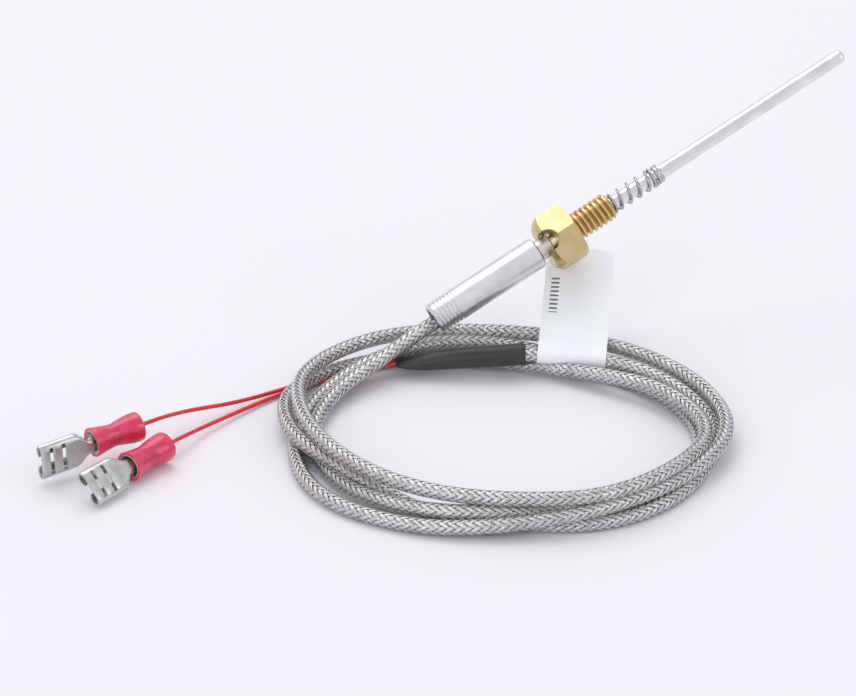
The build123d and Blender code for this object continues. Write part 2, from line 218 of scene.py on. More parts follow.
def turned(name: str, outline: Outline, steps: int = 96, closed: bool = False) -> bpy.types.Object:
    """Spin an outline about the z axis, as on a lathe.

    Args:
        name: the new object's name.
        outline: (radius, height) pairs from one end to the other.
        steps: the facets in a full turn.
        closed: joins the last point to the first, for a ring with a bore.
    Returns:
        The turned piece.
    """
    pairs = list(outline) + ([outline[0]] if closed else [])
    piece = drawn_outline(name, [(radius, 0.0, height) for radius, height in pairs])
    bpy.ops.object.mode_set(mode="EDIT")
    bpy.ops.mesh.select_all(action="SELECT")
    bpy.ops.mesh.spin(steps=steps, angle=2.0 * math.pi, center=(0.0, 0.0, 0.0), axis=(0.0, 0.0, 1.0))
    bpy.ops.object.mode_set(mode="OBJECT")
    close_up(piece)
    return piece


def apply_modifier(piece: bpy.types.Object, kind: str, **settings: object) -> None:
    """Add a modifier with its settings and apply it."""
    activate(piece)
    modifier = piece.modifiers.new(kind.title(), kind)
    for setting, value in settings.items():
        setattr(modifier, setting, value)
    bpy.ops.object.modifier_apply(modifier=modifier.name)


def combine(piece: bpy.types.Object, tool: bpy.types.Object, operation: str) -> None:
    """Join a second solid to a piece or cut it away, and remove the second one."""
    apply_modifier(piece, "BOOLEAN", object=tool, operation=operation, solver="EXACT")
    bpy.data.objects.remove(tool)


def threaded_rod(
    name: str, radii: tuple[float, float], pitch: float, crest_share: float,
    ends: tuple[float, float], lead_in: Callable[[float], float],
) -> bpy.types.Object:
    """A solid rod with a helical thread.

    Args:
        name: the new object's name.
        radii: the root's and the crest's radius.
        pitch: the distance between crests.
        crest_share: the share of the pitch that a crest's flat top takes.
        ends: the lowest and highest z of the rod.
        lead_in: the largest radius allowed at a height, for chamfered ends.
    Returns:
        The rod, closed at both ends.
    """
    root, crest = radii
    bottom, top = ends
    start = bottom - 2.0 * pitch
    half = crest_share / 2.0
    tooth = ((root, 0.06), (crest, 0.5 - half), (crest, 0.5 + half), (root, 0.94), (root, 1.06))
    rod = drawn_outline(name, [(radius, 0.0, start + share * pitch) for radius, share in tooth])
    turns = math.ceil((top - bottom) / pitch) + 4
    apply_modifier(
        rod, "SCREW", axis="Z", angle=2.0 * math.pi, screw_offset=pitch, iterations=turns,
        steps=48, render_steps=48, use_smooth_shade=True,
    )
    close_up(rod)
    for vertex in rod.data.vertices:
        radius = vertex.co.xy.length
        if radius > lead_in(vertex.co.z):
            vertex.co.xy *= lead_in(vertex.co.z) / radius
    for height, lower in ((bottom, True), (top, False)):
        activate(rod)
        bpy.ops.object.mode_set(mode="EDIT")
        bpy.ops.mesh.select_all(action="SELECT")
        bpy.ops.mesh.bisect(
            plane_co=(0.0, 0.0, height), plane_no=(0.0, 0.0, 1.0),
            use_fill=True, clear_inner=lower, clear_outer=not lower,
        )
        bpy.ops.object.mode_set(mode="OBJECT")
    close_up(rod)
    return rod


def lofted(name: str, rings: Sequence[Ring], sides: int = 32) -> bpy.types.Object:
    """A tube extruded ring by ring along z, each ring with its own size and place.

    Args:
        name: the new object's name.
        rings: (height, half width x, half width y, shift x, shift y) of each ring.
        sides: the vertices of a ring.
    Returns:
        The tube, open at both ends.
    """
    deselect()
    bpy.ops.mesh.primitive_circle_add(vertices=sides, radius=1.0, location=(0.0, 0.0, 0.0))
    tube = bpy.context.object
    tube.name = name
    bpy.ops.object.mode_set(mode="EDIT")
    bpy.ops.mesh.select_all(action="SELECT")
    last = (0.0, 1.0, 1.0, 0.0, 0.0)
    for number, ring in enumerate(rings):
        if number:
            bpy.ops.mesh.extrude_region_move()
        middle = (last[3], last[4], last[0])
        stretch = (ring[1] / last[1], ring[2] / last[2], 1.0)
        bpy.ops.transform.resize(value=stretch, center_override=middle)
        step = (ring[3] - last[3], ring[4] - last[4], ring[0] - last[0])
        bpy.ops.transform.translate(value=step)
        last = ring
    bpy.ops.object.mode_set(mode="OBJECT")
    close_up(tube)
    return tube


def dress(piece: bpy.types.Object, material: bpy.types.Material) -> None:
    """Give a piece one material all over."""
    piece.data.materials.clear()
    piece.data.materials.append(material)


def settle(
    piece: bpy.types.Object, place: Matrix, body: Body, material: bpy.types.Material,
    stands_for: Sequence[str] = (), smooth: float = SMOOTH_ANGLE,
) -> bpy.types.Object:
    """Move a finished mesh to its place in the row frame and fix it to its body.

    Args:
        piece: a mesh object in its own millimetres.
        place: the matrix from those millimetres to the row frame.
        body: the CAD body it rides on.
        material: its material.
        stands_for: the CAD nodes it replaces.
        smooth: faces that meet at less than this angle shade smoothly.
    Returns:
        The same piece.
    """
    piece.data.transform(place)
    if place.determinant() < 0.0:
        piece.data.flip_normals()
    activate(piece)
    bpy.ops.object.shade_smooth_by_angle(angle=smooth)
    dress(piece, material)
    ride(piece, body, stands_for)
    return piece


def ride(piece: bpy.types.Object, body: Body, stands_for: Sequence[str] = ()) -> None:
    """Fix a piece to its body and the CAD nodes it replaces."""
    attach(piece, body.value)
    if stands_for:
        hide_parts(*stands_for)
    LOG.info("%s rides on %s", piece.name, body.value)


def mesh_piece(name: str, points: np.ndarray, faces: np.ndarray, uvs: np.ndarray) -> bpy.types.Object:
    """A mesh object from arrays of points and four-cornered faces.

    Args:
        name: the new object's name.
        points: an (n, 3) array in metres.
        faces: an (m, 4) array of point numbers.
        uvs: an (m * 4, 2) array, one pair per face corner.
    Returns:
        The object, linked to the scene.
    """
    mesh = bpy.data.meshes.new(name)
    mesh.from_pydata(points.tolist(), [], faces.tolist())
    layer = mesh.uv_layers.new(name="UVMap")
    layer.data.foreach_set("uv", uvs.astype(np.float32).ravel())
    mesh.update()
    piece = bpy.data.objects.new(name, mesh)
    bpy.context.scene.collection.objects.link(piece)
    return piece


# --- finishes ----------------------------------------------------------------


class Tree:
    """A short way to add and join the nodes of one material or node group."""

    def __init__(self, tree: bpy.types.NodeTree) -> None:
        """Hold a node tree."""
        self.tree = tree

    def add(self, kind: str, feeds: Optional[dict] = None, **settings: object) -> bpy.types.Node:
        """Add a node.

        Args:
            kind: the node's type name, without its ShaderNode prefix.
            feeds: for each input's name or number, a value or a socket to join.
            settings: the node's own properties.
        Returns:
            The node.
        """
        node = self.tree.nodes.new(kind if kind.startswith("Node") else f"ShaderNode{kind}")
        for setting, value in settings.items():
            setattr(node, setting, value)
        for entry, value in (feeds or {}).items():
            if isinstance(value, bpy.types.NodeSocket):
                self.tree.links.new(value, node.inputs[entry])
            else:
                node.inputs[entry].default_value = value
        return node

    def math(self, operation: str, *values: object) -> bpy.types.NodeSocket:
        """The result of one Math node."""
        return self.add("Math", dict(enumerate(values)), operation=operation).outputs[0]

    def blend(self, share: object, low: object, high: object) -> bpy.types.NodeSocket:
        """A colour between two others."""
        node = self.add("Mix", data_type="RGBA")
        for entry, value in ((0, share), (6, low), (7, high)):
            if isinstance(value, bpy.types.NodeSocket):
                self.tree.links.new(value, node.inputs[entry])
            else:
                node.inputs[entry].default_value = value
        return node.outputs[2]

    def ramp(
        self, value: bpy.types.NodeSocket, low: float, high: float, start: float = 0.0, end: float = 1.0,
    ) -> bpy.types.NodeSocket:
        """A value moved from one range to another and held inside it."""
        feeds = {0: value, 1: low, 2: high, 3: start, 4: end}
        return self.add("MapRange", feeds, clamp=True).outputs[0]

    def join(self, source: bpy.types.NodeSocket, target: bpy.types.NodeSocket) -> None:
        """Join one node's output to another's input."""
        self.tree.links.new(source, target)


def new_group(
    name: str, inputs: Sequence[tuple[str, str, object]], outputs: Sequence[tuple[str, str]],
) -> tuple[Tree, bpy.types.Node, bpy.types.Node]:
    """Start a shader node group with named sockets.

    Args:
        name: the group's name.
        inputs: (name, socket kind, default) of each input.
        outputs: (name, socket kind) of each output.
    Returns:
        Its tree, its input node and its output node.
    """
    group = bpy.data.node_groups.new(name, "ShaderNodeTree")
    for label, kind, default in inputs:
        socket = group.interface.new_socket(label, in_out="INPUT", socket_type=kind)
        if default is not None:
            socket.default_value = default
    for label, kind in outputs:
        group.interface.new_socket(label, in_out="OUTPUT", socket_type=kind)
    tree = Tree(group)
    return tree, tree.add("NodeGroupInput"), tree.add("NodeGroupOutput")


class SharedEffects:
    """The node groups that several finishes use."""

    def __init__(self) -> None:
        """Build every group once."""
        self.marks = self._fine_marks()
        self.mottle = self._mottle()

    @staticmethod
    def _fine_marks() -> bpy.types.NodeTree:
        """Fine drawn or turned lines with a slower unevenness under them."""
        tree, given, result = new_group(
            "fine_marks",
            (
                ("Place", "NodeSocketVector", None), ("Scale", "NodeSocketFloat", 4000.0),
                ("Depth", "NodeSocketFloat", 0.3), ("Low", "NodeSocketFloat", 0.2),
                ("High", "NodeSocketFloat", 0.4),
            ),
            (("Lines", "NodeSocketFloat"), ("Roughness", "NodeSocketFloat"), ("Normal", "NodeSocketVector")),
        )
        place, scale = given.outputs["Place"], given.outputs["Scale"]
        slow_scale = tree.math("MULTIPLY", scale, 0.12)
        lines = tree.add("TexNoise", {"Vector": place, "Scale": scale, "Detail": 3.0, "Roughness": 0.65})
        slow = tree.add("TexNoise", {"Vector": place, "Scale": slow_scale, "Detail": 2.0})
        fine_part = tree.math("MULTIPLY", lines.outputs["Fac"], 0.65)
        slow_part = tree.math("MULTIPLY", slow.outputs["Fac"], 0.35)
        both = tree.math("ADD", fine_part, slow_part)
        feeds = {0: both, 1: 0.35, 2: 0.65, 3: given.outputs["Low"], 4: given.outputs["High"]}
        rough = tree.add("MapRange", feeds, clamp=True)
        bump = tree.add("Bump", {"Strength": given.outputs["Depth"], "Distance": 0.00002, "Height": both})
        tree.join(both, result.inputs["Lines"])
        tree.join(rough.outputs[0], result.inputs["Roughness"])
        tree.join(bump.outputs[0], result.inputs["Normal"])
        return tree.tree

    @staticmethod
    def _mottle() -> bpy.types.NodeTree:
        """A soft drift between two colours, with handling marks in the roughness."""
        tree, given, result = new_group(
            "mottle",
            (
                ("Place", "NodeSocketVector", None), ("Scale", "NodeSocketFloat", 300.0),
                ("Low Colour", "NodeSocketColor", None), ("High Colour", "NodeSocketColor", None),
                ("Low", "NodeSocketFloat", 0.2), ("High", "NodeSocketFloat", 0.4),
            ),
            (("Colour", "NodeSocketColor"), ("Roughness", "NodeSocketFloat"), ("Mask", "NodeSocketFloat")),
        )
        place, scale = given.outputs["Place"], given.outputs["Scale"]
        cloud = tree.add("TexNoise", {"Vector": place, "Scale": scale, "Detail": 4.0, "Roughness": 0.6})
        mask = tree.ramp(cloud.outputs["Fac"], 0.32, 0.68)
        colour = tree.blend(mask, given.outputs["Low Colour"], given.outputs["High Colour"])
        feeds = {0: mask, 1: 0.0, 2: 1.0, 3: given.outputs["Low"], 4: given.outputs["High"]}
        rough = tree.add("MapRange", feeds)
        tree.join(colour, result.inputs["Colour"])
        tree.join(rough.outputs[0], result.inputs["Roughness"])
        tree.join(mask, result.inputs["Mask"])
        return tree.tree


def new_material(name: str) -> tuple[bpy.types.Material, Tree, bpy.types.Node]:
    """A material with its tree and its Principled shader."""
    material = bpy.data.materials.new(name)
    material.use_nodes = True
    return material, Tree(material.node_tree), material.node_tree.nodes["Principled BSDF"]


def rgba(colour: Point) -> tuple[float, float, float, float]:
    """A colour with full alpha."""
    return (*colour, 1.0)


def along_probe(tree: Tree, stretch: Point = (1.0, 1.0, 1.0)) -> bpy.types.NodeSocket:
    """Object coordinates turned so that z runs along the probe."""
    place = tree.add("TexCoord").outputs["Object"]
    upright = (0.0, PROBE.pitch - math.pi / 2.0, 0.0)
    turn = tree.add("Mapping", {"Vector": place, "Rotation": upright}, vector_type="POINT")
    return tree.add("Mapping", {"Vector": turn.outputs[0], "Scale": stretch}).outputs[0]


@dataclass(frozen=True)
class MetalFinish:
    """A machined or drawn metal with fine lines in one direction."""

    name: str
    low_colour: Point
    high_colour: Point
    roughness: tuple[float, float]
    lines: Axis = Axis.NONE
    line_scale: float = 4000.0
    depth: float = 0.3
    # painted shade: a darker, deeper orange laid towards the thread roots
    root_shade_colour: Optional[Point] = None
    root_radii: tuple[float, float] = (2.5, 3.1)
    root_start: float = 0.3
    tarnish_scale: float = 260.0

    def build(self, effects: SharedEffects) -> bpy.types.Material:
        """Make the material from the shared effects."""
        material, tree, shader = new_material(self.name)
        plain = along_probe(tree)
        marks = tree.add("Group", {
            "Place": along_probe(tree, self.lines.value), "Scale": self.line_scale, "Depth": self.depth,
            "Low": self.roughness[0], "High": self.roughness[1],
        }, node_tree=effects.marks)
        mottle = tree.add("Group", {
            "Place": plain, "Scale": self.tarnish_scale,
            "Low Colour": rgba(self.low_colour), "High Colour": rgba(self.high_colour),
        }, node_tree=effects.mottle)
        colour = mottle.outputs["Colour"]
        # Painted shade: the colour turns darker and deeper orange towards the thread roots.
        if self.root_shade_colour is not None:
            parts = tree.add("SeparateXYZ", {0: plain})
            squares = [tree.math("POWER", parts.outputs[side], 2.0) for side in (0, 1)]
            radius = tree.math("SQRT", tree.math("ADD", *squares))
            depth = tree.ramp(radius, self.root_radii[0] * MM, self.root_radii[1] * MM, 1.0, 0.0)
            threaded = tree.math("GREATER_THAN", parts.outputs[2], self.root_start * MM)
            colour = tree.blend(tree.math("MULTIPLY", depth, threaded), colour, rgba(self.root_shade_colour))
        tree.join(colour, shader.inputs["Base Color"])
        tree.join(marks.outputs["Roughness"], shader.inputs["Roughness"])
        tree.join(marks.outputs["Normal"], shader.inputs["Normal"])
        shader.inputs["Metallic"].default_value = 1.0
        return material


@dataclass(frozen=True)
class SoftFinish:
    """Plastic, rubber, ceramic or paint: a mottled colour with a fine grain."""

    name: str
    low_colour: Point
    high_colour: Point
    roughness: tuple[float, float]
    grain_scale: float = 2500.0
    grain_depth: float = 0.2
    mottle_scale: float = 250.0
    coat: float = 0.0
    subsurface: float = 0.0

    def build(self, effects: SharedEffects) -> bpy.types.Material:
        """Make the material from the shared effects."""
        material, tree, shader = new_material(self.name)
        place = tree.add("TexCoord").outputs["Object"]
        mottle = tree.add("Group", {
            "Place": place, "Scale": self.mottle_scale,
            "Low Colour": rgba(self.low_colour), "High Colour": rgba(self.high_colour),
            "Low": self.roughness[0], "High": self.roughness[1],
        }, node_tree=effects.mottle)
        marks = tree.add("Group", {
            "Place": place, "Scale": self.grain_scale, "Depth": self.grain_depth,
        }, node_tree=effects.marks)
        tree.join(mottle.outputs["Colour"], shader.inputs["Base Color"])
        tree.join(mottle.outputs["Roughness"], shader.inputs["Roughness"])
        tree.join(marks.outputs["Normal"], shader.inputs["Normal"])
        shader.inputs["Coat Weight"].default_value = self.coat
        shader.inputs["Coat Roughness"].default_value = 0.12
        shader.inputs["Subsurface Weight"].default_value = self.subsurface
        shader.inputs["Subsurface Radius"].default_value = (1.0, 0.25, 0.3)
        shader.inputs["Subsurface Scale"].default_value = 0.0015
        return material


@dataclass(frozen=True)
class BraidFinish:
    """Bundles of fine bright wire, read from the uv that runs along each bundle."""

    name: str = "braid_wire"
    bright: Point = (0.92, 0.91, 0.90)
    dull: Point = (0.58, 0.56, 0.55)
    # painted shade: the dark colour laid along the edges of each wire, where neighbouring wires meet
    gap: Point = (0.10, 0.09, 0.085)
    wires: float = 6.0
    roundness: float = 3.9

    def build(self) -> bpy.types.Material:
        """Make the material: wires side by side, each with its own tone, and painted shade where neighbouring
        wires meet.
        """
        material, tree, shader = new_material(self.name)
        pair = tree.add("SeparateXYZ", {0: tree.add("UVMap", uv_map="UVMap").outputs[0]})
        across = tree.math("MULTIPLY", pair.outputs[0], self.wires)
        in_wire = tree.math("ABSOLUTE", tree.math("SUBTRACT", tree.math("FRACT", across), 0.5))
        fall = tree.math("MULTIPLY", tree.math("POWER", in_wire, 2.0), self.roundness)
        crown = tree.math("SQRT", tree.math("SUBTRACT", 1.0, fall))
        own_lane = tree.math("MULTIPLY", tree.math("FLOOR", across), 3.7)
        run = tree.math("MULTIPLY", pair.outputs[1], 0.35)
        place = tree.add("CombineXYZ", {0: own_lane, 1: run, 2: 0.0})
        tone = tree.add("TexNoise", {"Vector": place.outputs[0], "Scale": 1.0, "Detail": 2.0})
        metal = tree.blend(tree.ramp(tone.outputs["Fac"], 0.35, 0.65), rgba(self.dull), rgba(self.bright))
        # painted shade: each wire's edges blend towards the gap colour
        wire_crevice_shade = tree.ramp(in_wire, 0.36, 0.5)
        tree.join(tree.blend(wire_crevice_shade, metal, rgba(self.gap)), shader.inputs["Base Color"])
        tree.join(tree.ramp(tone.outputs["Fac"], 0.3, 0.7, 0.34, 0.20), shader.inputs["Roughness"])
        bump = tree.add("Bump", {"Strength": 0.7, "Distance": 0.00006, "Height": crown})
        tree.join(bump.outputs[0], shader.inputs["Normal"])
        shader.inputs["Metallic"].default_value = 1.0
        return material


@dataclass(frozen=True)
class FloorFinish:
    """Plain pale paper."""

    name: str = "studio_paper"
    colour: Point = (0.865, 0.86, 0.88)

    def build(self) -> bpy.types.Material:
        """Make the material with a very slight unevenness."""
        material, tree, shader = new_material(self.name)
        cloud = tree.add("TexNoise", {"Vector": tree.add("TexCoord").outputs["Object"], "Scale": 3.0})
        low = tuple(0.99 * part for part in self.colour)
        colour = tree.blend(cloud.outputs["Fac"], rgba(low), rgba(self.colour))
        tree.join(colour, shader.inputs["Base Color"])
        shader.inputs["Roughness"].default_value = 0.6
        shader.inputs["Specular IOR Level"].default_value = 0.25
        return material


@dataclass(frozen=True)
class LabelFinish:
    """White film with a row of plain bars, read from the uv that runs along it."""

    name: str = "label_film"
    colour: Point = (0.97, 0.965, 0.98)
    ink: Point = (0.16, 0.16, 0.17)
    row: tuple[float, float] = (0.78, 0.90)
    run: tuple[float, float] = (7.5, 17.5)
    spacing: float = 1.15
    bar_share: float = 0.42

    def build(self, effects: SharedEffects) -> bpy.types.Material:
        """Make the material: paper fibre, a soft sheen and the bars."""
        material, tree, shader = new_material(self.name)
        pair = tree.add("SeparateXYZ", {0: tree.add("UVMap", uv_map="UVMap").outputs[0]})
        across, along = pair.outputs[0], pair.outputs[1]
        fields = [
            tree.math(
                "MULTIPLY", tree.math("GREATER_THAN", measure, low), tree.math("LESS_THAN", measure, high),
            )
            for measure, (low, high) in ((across, self.row), (along, self.run))
        ]
        bar_place = tree.math("FRACT", tree.math("DIVIDE", along, self.spacing))
        bar = tree.math("LESS_THAN", bar_place, self.bar_share)
        mask = tree.math("MULTIPLY", tree.math("MULTIPLY", *fields), bar)
        place = tree.add("TexCoord").outputs["Object"]
        mottle = tree.add("Group", {
            "Place": place, "Scale": 120.0, "Low Colour": rgba(tuple(0.96 * part for part in self.colour)),
            "High Colour": rgba(self.colour), "Low": 0.42, "High": 0.55,
        }, node_tree=effects.mottle)
        marks = tree.add("Group", {"Place": place, "Scale": 6000.0, "Depth": 0.12}, node_tree=effects.marks)
        colour = tree.blend(mask, mottle.outputs["Colour"], rgba(self.ink))
        tree.join(colour, shader.inputs["Base Color"])
        tree.join(mottle.outputs["Roughness"], shader.inputs["Roughness"])
        tree.join(marks.outputs["Normal"], shader.inputs["Normal"])
        shader.inputs["Subsurface Weight"].default_value = 0.15
        shader.inputs["Subsurface Scale"].default_value = 0.0005
        return material


# --- cords: the braided cable and the two lead wires ---------------------------


def spline_curve(
    name: str, route: Sequence[Vector], radius: float, finish: Optional[bpy.types.Material],
) -> bpy.types.Object:
    """A smooth cord along a route's points.

    Args:
        name: the new object's name.
        route: the control points in mm, in the row frame.
        radius: the cord's radius in mm, or 0 for its bare line.
        finish: its material, if it shows.
    Returns:
        A curve object with one open spline.
    """
    curve = bpy.data.curves.new(name, "CURVE")
    curve.dimensions = "3D"
    curve.bevel_depth = radius * MM
    curve.bevel_resolution = 4
    curve.use_fill_caps = radius > 0.0
    spline = curve.splines.new("NURBS")
    spline.points.add(len(route) - 1)
    for control, place in zip(spline.points, route):
        control.co = (*(place * MM), 1.0)
    spline.order_u = 3
    spline.use_endpoint_u = True
    spline.resolution_u = 12
    if finish is not None:
        curve.materials.append(finish)
    piece = bpy.data.objects.new(name, curve)
    bpy.context.scene.collection.objects.link(piece)
    return piece


def centreline(route: Sequence[Vector], step: float) -> np.ndarray:
    """Evenly spaced points of a route's own smooth line.

    Args:
        route: the control points in mm.
        step: the wanted spacing in mm.
    Returns:
        An (n, 3) array in mm.
    """
    line = spline_curve("line_for_reading", route, 0.0, None)
    line.data.splines[0].resolution_u = 48
    bpy.context.view_layer.update()
    graph = bpy.context.evaluated_depsgraph_get()
    read = bpy.data.meshes.new_from_object(line.evaluated_get(graph))
    points = np.array([v.co for v in read.vertices], float) / MM
    bpy.data.meshes.remove(read)
    bpy.data.objects.remove(line)
    return respaced(points, step)


def respaced(points: np.ndarray, step: float) -> np.ndarray:
    """The same line with its points an even step apart."""
    runs = np.linalg.norm(np.diff(points, axis=0), axis=1)
    along = np.concatenate([[0.0], np.cumsum(runs)])
    count = max(2, int(round(along[-1] / step)) + 1)
    wanted = np.linspace(0.0, along[-1], count)
    return np.stack([np.interp(wanted, along, points[:, k]) for k in range(3)], axis=1)


def line_length(points: np.ndarray) -> float:
    """The length of a line of points."""
    return float(np.linalg.norm(np.diff(points, axis=0), axis=1).sum())


def carried_frames(points: np.ndarray) -> Directions:
    """Directions along, across and up at each point of a line, without twist.

    Args:
        points: an (n, 3) array.
    Returns:
        Three (n, 3) arrays of unit directions.
    """
    along = np.gradient(points, axis=0)
    along /= np.linalg.norm(along, axis=1)[:, None]
    across = np.zeros_like(along)
    side = np.cross(along[0], (0.0, 0.0, 1.0))
    across[0] = side / np.linalg.norm(side)
    for k in range(1, len(points)):
        side = across[k - 1] - along[k] * np.dot(across[k - 1], along[k])
        across[k] = side / np.linalg.norm(side)
    return along, across, np.cross(across, along)


@dataclass
class Braid:
    """Flat bundles of fine wire that cross two over, two under, round a core."""

    carriers: int = 8
    lay: float = 14.4
    radius: float = 1.47
    rise: float = 0.075
    width: float = 0.88
    thickness: float = 0.11
    samples: int = 32
    section: tuple[tuple[float, float], ...] = (
        (-0.5, -0.1), (-0.25, 0.5), (0.25, 0.5), (0.5, -0.1), (0.0, -0.5),
    )

    def bundle(
        self, line: np.ndarray, axes: Directions, number: int, hand: int,
    ) -> tuple[np.ndarray, np.ndarray, np.ndarray]:
        """One bundle's mesh.

        Args:
            line: the cable's centreline, self.samples points to a turn.
            axes: the directions carried along it.
            number: which bundle of its hand this is.
            hand: 1 or -1, the way it winds.
        Returns:
            Its points in mm, its faces, and a uv pair for each face corner.
        """
        along, across, up = axes
        turn = np.arange(len(line)) / self.samples
        crossing = 2.0 * self.carriers * turn
        angle = 2.0 * math.pi * (hand * turn + number / self.carriers)
        phase = crossing + 2.0 * number if hand > 0 else 2.0 * number - crossing
        wave = np.cos(2.0 * math.pi * (phase - 0.5) / 4.0)
        lift = self.rise * np.clip(1.5 * wave, -1.0, 1.0) * hand
        outward = across * np.cos(angle)[:, None] + up * np.sin(angle)[:, None]
        round_way = up * np.cos(angle)[:, None] - across * np.sin(angle)[:, None]
        slope = hand * 2.0 * math.pi * self.radius / self.lay
        sideways = round_way - along * slope
        sideways /= np.linalg.norm(sideways, axis=1)[:, None]
        middle = line + outward * (self.radius + lift)[:, None]
        rings = [
            middle + sideways * (wide * self.width) + outward * (high * self.thickness)
            for wide, high in self.section
        ]
        points = np.stack(rings, axis=1).reshape(-1, 3)
        return points, *self._faces(len(line))

    def _faces(self, count: int) -> tuple[np.ndarray, np.ndarray]:
        """The faces of a closed strip of that many rings, and their uvs."""
        sides = len(self.section)
        ring = np.arange(count - 1)[:, None] * sides
        here = np.arange(sides)[None, :]
        there = (here + 1) % sides
        faces = np.stack([ring + here, ring + sides + here, ring + sides + there, ring + there], axis=2)
        faces = faces.reshape(-1, 4)
        width_of = np.array([wide + 0.5 for wide, _ in self.section])
        step = self.lay / self.samples
        uvs = np.zeros((len(faces) * 4, 2))
        uvs[:, 0] = width_of[faces.ravel() % sides]
        uvs[:, 1] = faces.ravel() // sides * step
        return faces, uvs


@dataclass
class BraidedCable:
    """The overbraided cable: out of the sleeve, three and a half turns, into the heat-shrink."""

    diameter: float = 3.2
    exit_drop: float = 0.75
    socket: float = -31.55
    sleeve_rear: float = -36.55
    straight: float = 4.0
    spread: float = 1.035  # a control point's radius over its turn's own radius
    first_points: tuple[Point, ...] = ((-27.6, 31.0, 5.0), (-35.0, 23.0, 3.4), (-39.5, 14.0, 2.4))
    last_points: tuple[Point, ...] = (
        (45.2, 3.0, 1.6), (43.0, 14.5, 1.7), (36.5, 25.0, 2.6),
        (26.5, 31.6, 4.3), (15.0, 33.6, 4.9), (4.3, 34.0, 5.5),
    )
    first_angle: float = 180.0
    step_angle: float = 30.0
    # radius and height above the table, at every step_angle
    turns: tuple[tuple[tuple[float, float], ...], ...] = (
        (
            (40.5, 1.6), (38.2, 2.0), (37.0, 4.2), (33.8, 4.8), (33.6, 2.5), (36.6, 1.6),
            (40.6, 1.6), (40.0, 1.6), (38.3, 1.6), (43.2, 3.2), (43.8, 5.2), (44.5, 2.3),
        ),
        (
            (44.5, 1.6), (44.6, 1.6), (39.8, 1.6), (36.4, 3.2), (37.5, 5.0), (39.6, 4.2),
            (46.2, 4.6), (46.5, 4.5), (45.9, 4.6), (45.5, 4.6), (50.4, 5.3), (50.0, 6.0),
        ),
        (
            (42.0, 7.6), (36.6, 7.4), (34.2, 7.3), (33.6, 7.5), (37.0, 7.3), (38.6, 7.0),
            (42.0, 4.8), (37.9, 4.8), (33.2, 3.4), (36.6, 1.6), (46.8, 1.6), (52.5, 1.8),
        ),
        (
            (45.4, 4.8), (35.2, 4.2), (33.6, 1.6), (32.8, 1.6), (38.6, 1.6), (40.9, 1.6),
        ),
    )
    braid: Braid = field(default_factory=Braid)
    pieces: int = 4

    @property
    def exit(self) -> Vector:
        """Where the cable leaves the sleeve, in mm."""
        return PROBE.point(self.sleeve_rear, self.exit_drop)

    def route(self) -> list[Vector]:
        """The cable's control points: the exit, the turns and the tail."""
        stations = (self.socket, self.sleeve_rear - self.straight)
        points = [PROBE.point(station, self.exit_drop) for station in stations]
        points += [TABLE.point(*place) for place in self.first_points]
        angle = math.radians(self.first_angle)
        for turn in self.turns:
            for radius, height in turn:
                reach = radius * self.spread
                points.append(TABLE.point(reach * math.cos(angle), reach * math.sin(angle), height))
                angle += math.radians(self.step_angle)
        return points + [TABLE.point(*place) for place in self.last_points]

    def build(
        self, core_finish: bpy.types.Material, braid_finish: bpy.types.Material,
    ) -> tuple[bpy.types.Object, list[bpy.types.Object]]:
        """Make the core and its braid.

        Args:
            core_finish: the dark layer seen between the bundles.
            braid_finish: the bundles' own finish.
        Returns:
            The core, which is the cord, and the pieces of its braid.
        """
        route = self.route()
        core = spline_curve("cable_core", route, self.braid.radius - self.braid.rise - 0.02, core_finish)
        ride(core, Body.PROBE, ("cable_exit", "cable_coil", "cable_tail"))
        line = centreline(route, self.braid.lay / self.braid.samples)
        axes = carried_frames(line)
        per_piece = 2 * self.braid.carriers // self.pieces
        bundles = [(number, hand) for hand in (1, -1) for number in range(self.braid.carriers)]
        made = []
        for group in range(self.pieces):
            chosen = bundles[group * per_piece:(group + 1) * per_piece]
            made.append(self._braid_piece(f"cable_braid_{group + 1}", line, axes, chosen, braid_finish))
        self.line, self.length = line, line_length(line)
        return core, made

    def _braid_piece(
        self, name: str, line: np.ndarray, axes: Directions,
        chosen: Sequence[tuple[int, int]], finish: bpy.types.Material,
    ) -> bpy.types.Object:
        """Several bundles as one mesh piece that rides with the probe."""
        points, faces, uvs, base = [], [], [], 0
        for number, hand in chosen:
            strip, sides, pairs = self.braid.bundle(line, axes, number, hand)
            points.append(strip)
            faces.append(sides + base)
            uvs.append(pairs)
            base += len(strip)
        piece = mesh_piece(name, np.concatenate(points) * MM, np.concatenate(faces), np.concatenate(uvs))
        piece.data.shade_smooth()
        dress(piece, finish)
        ride(piece, Body.PROBE)
        return piece


# --- studio ------------------------------------------------------------------


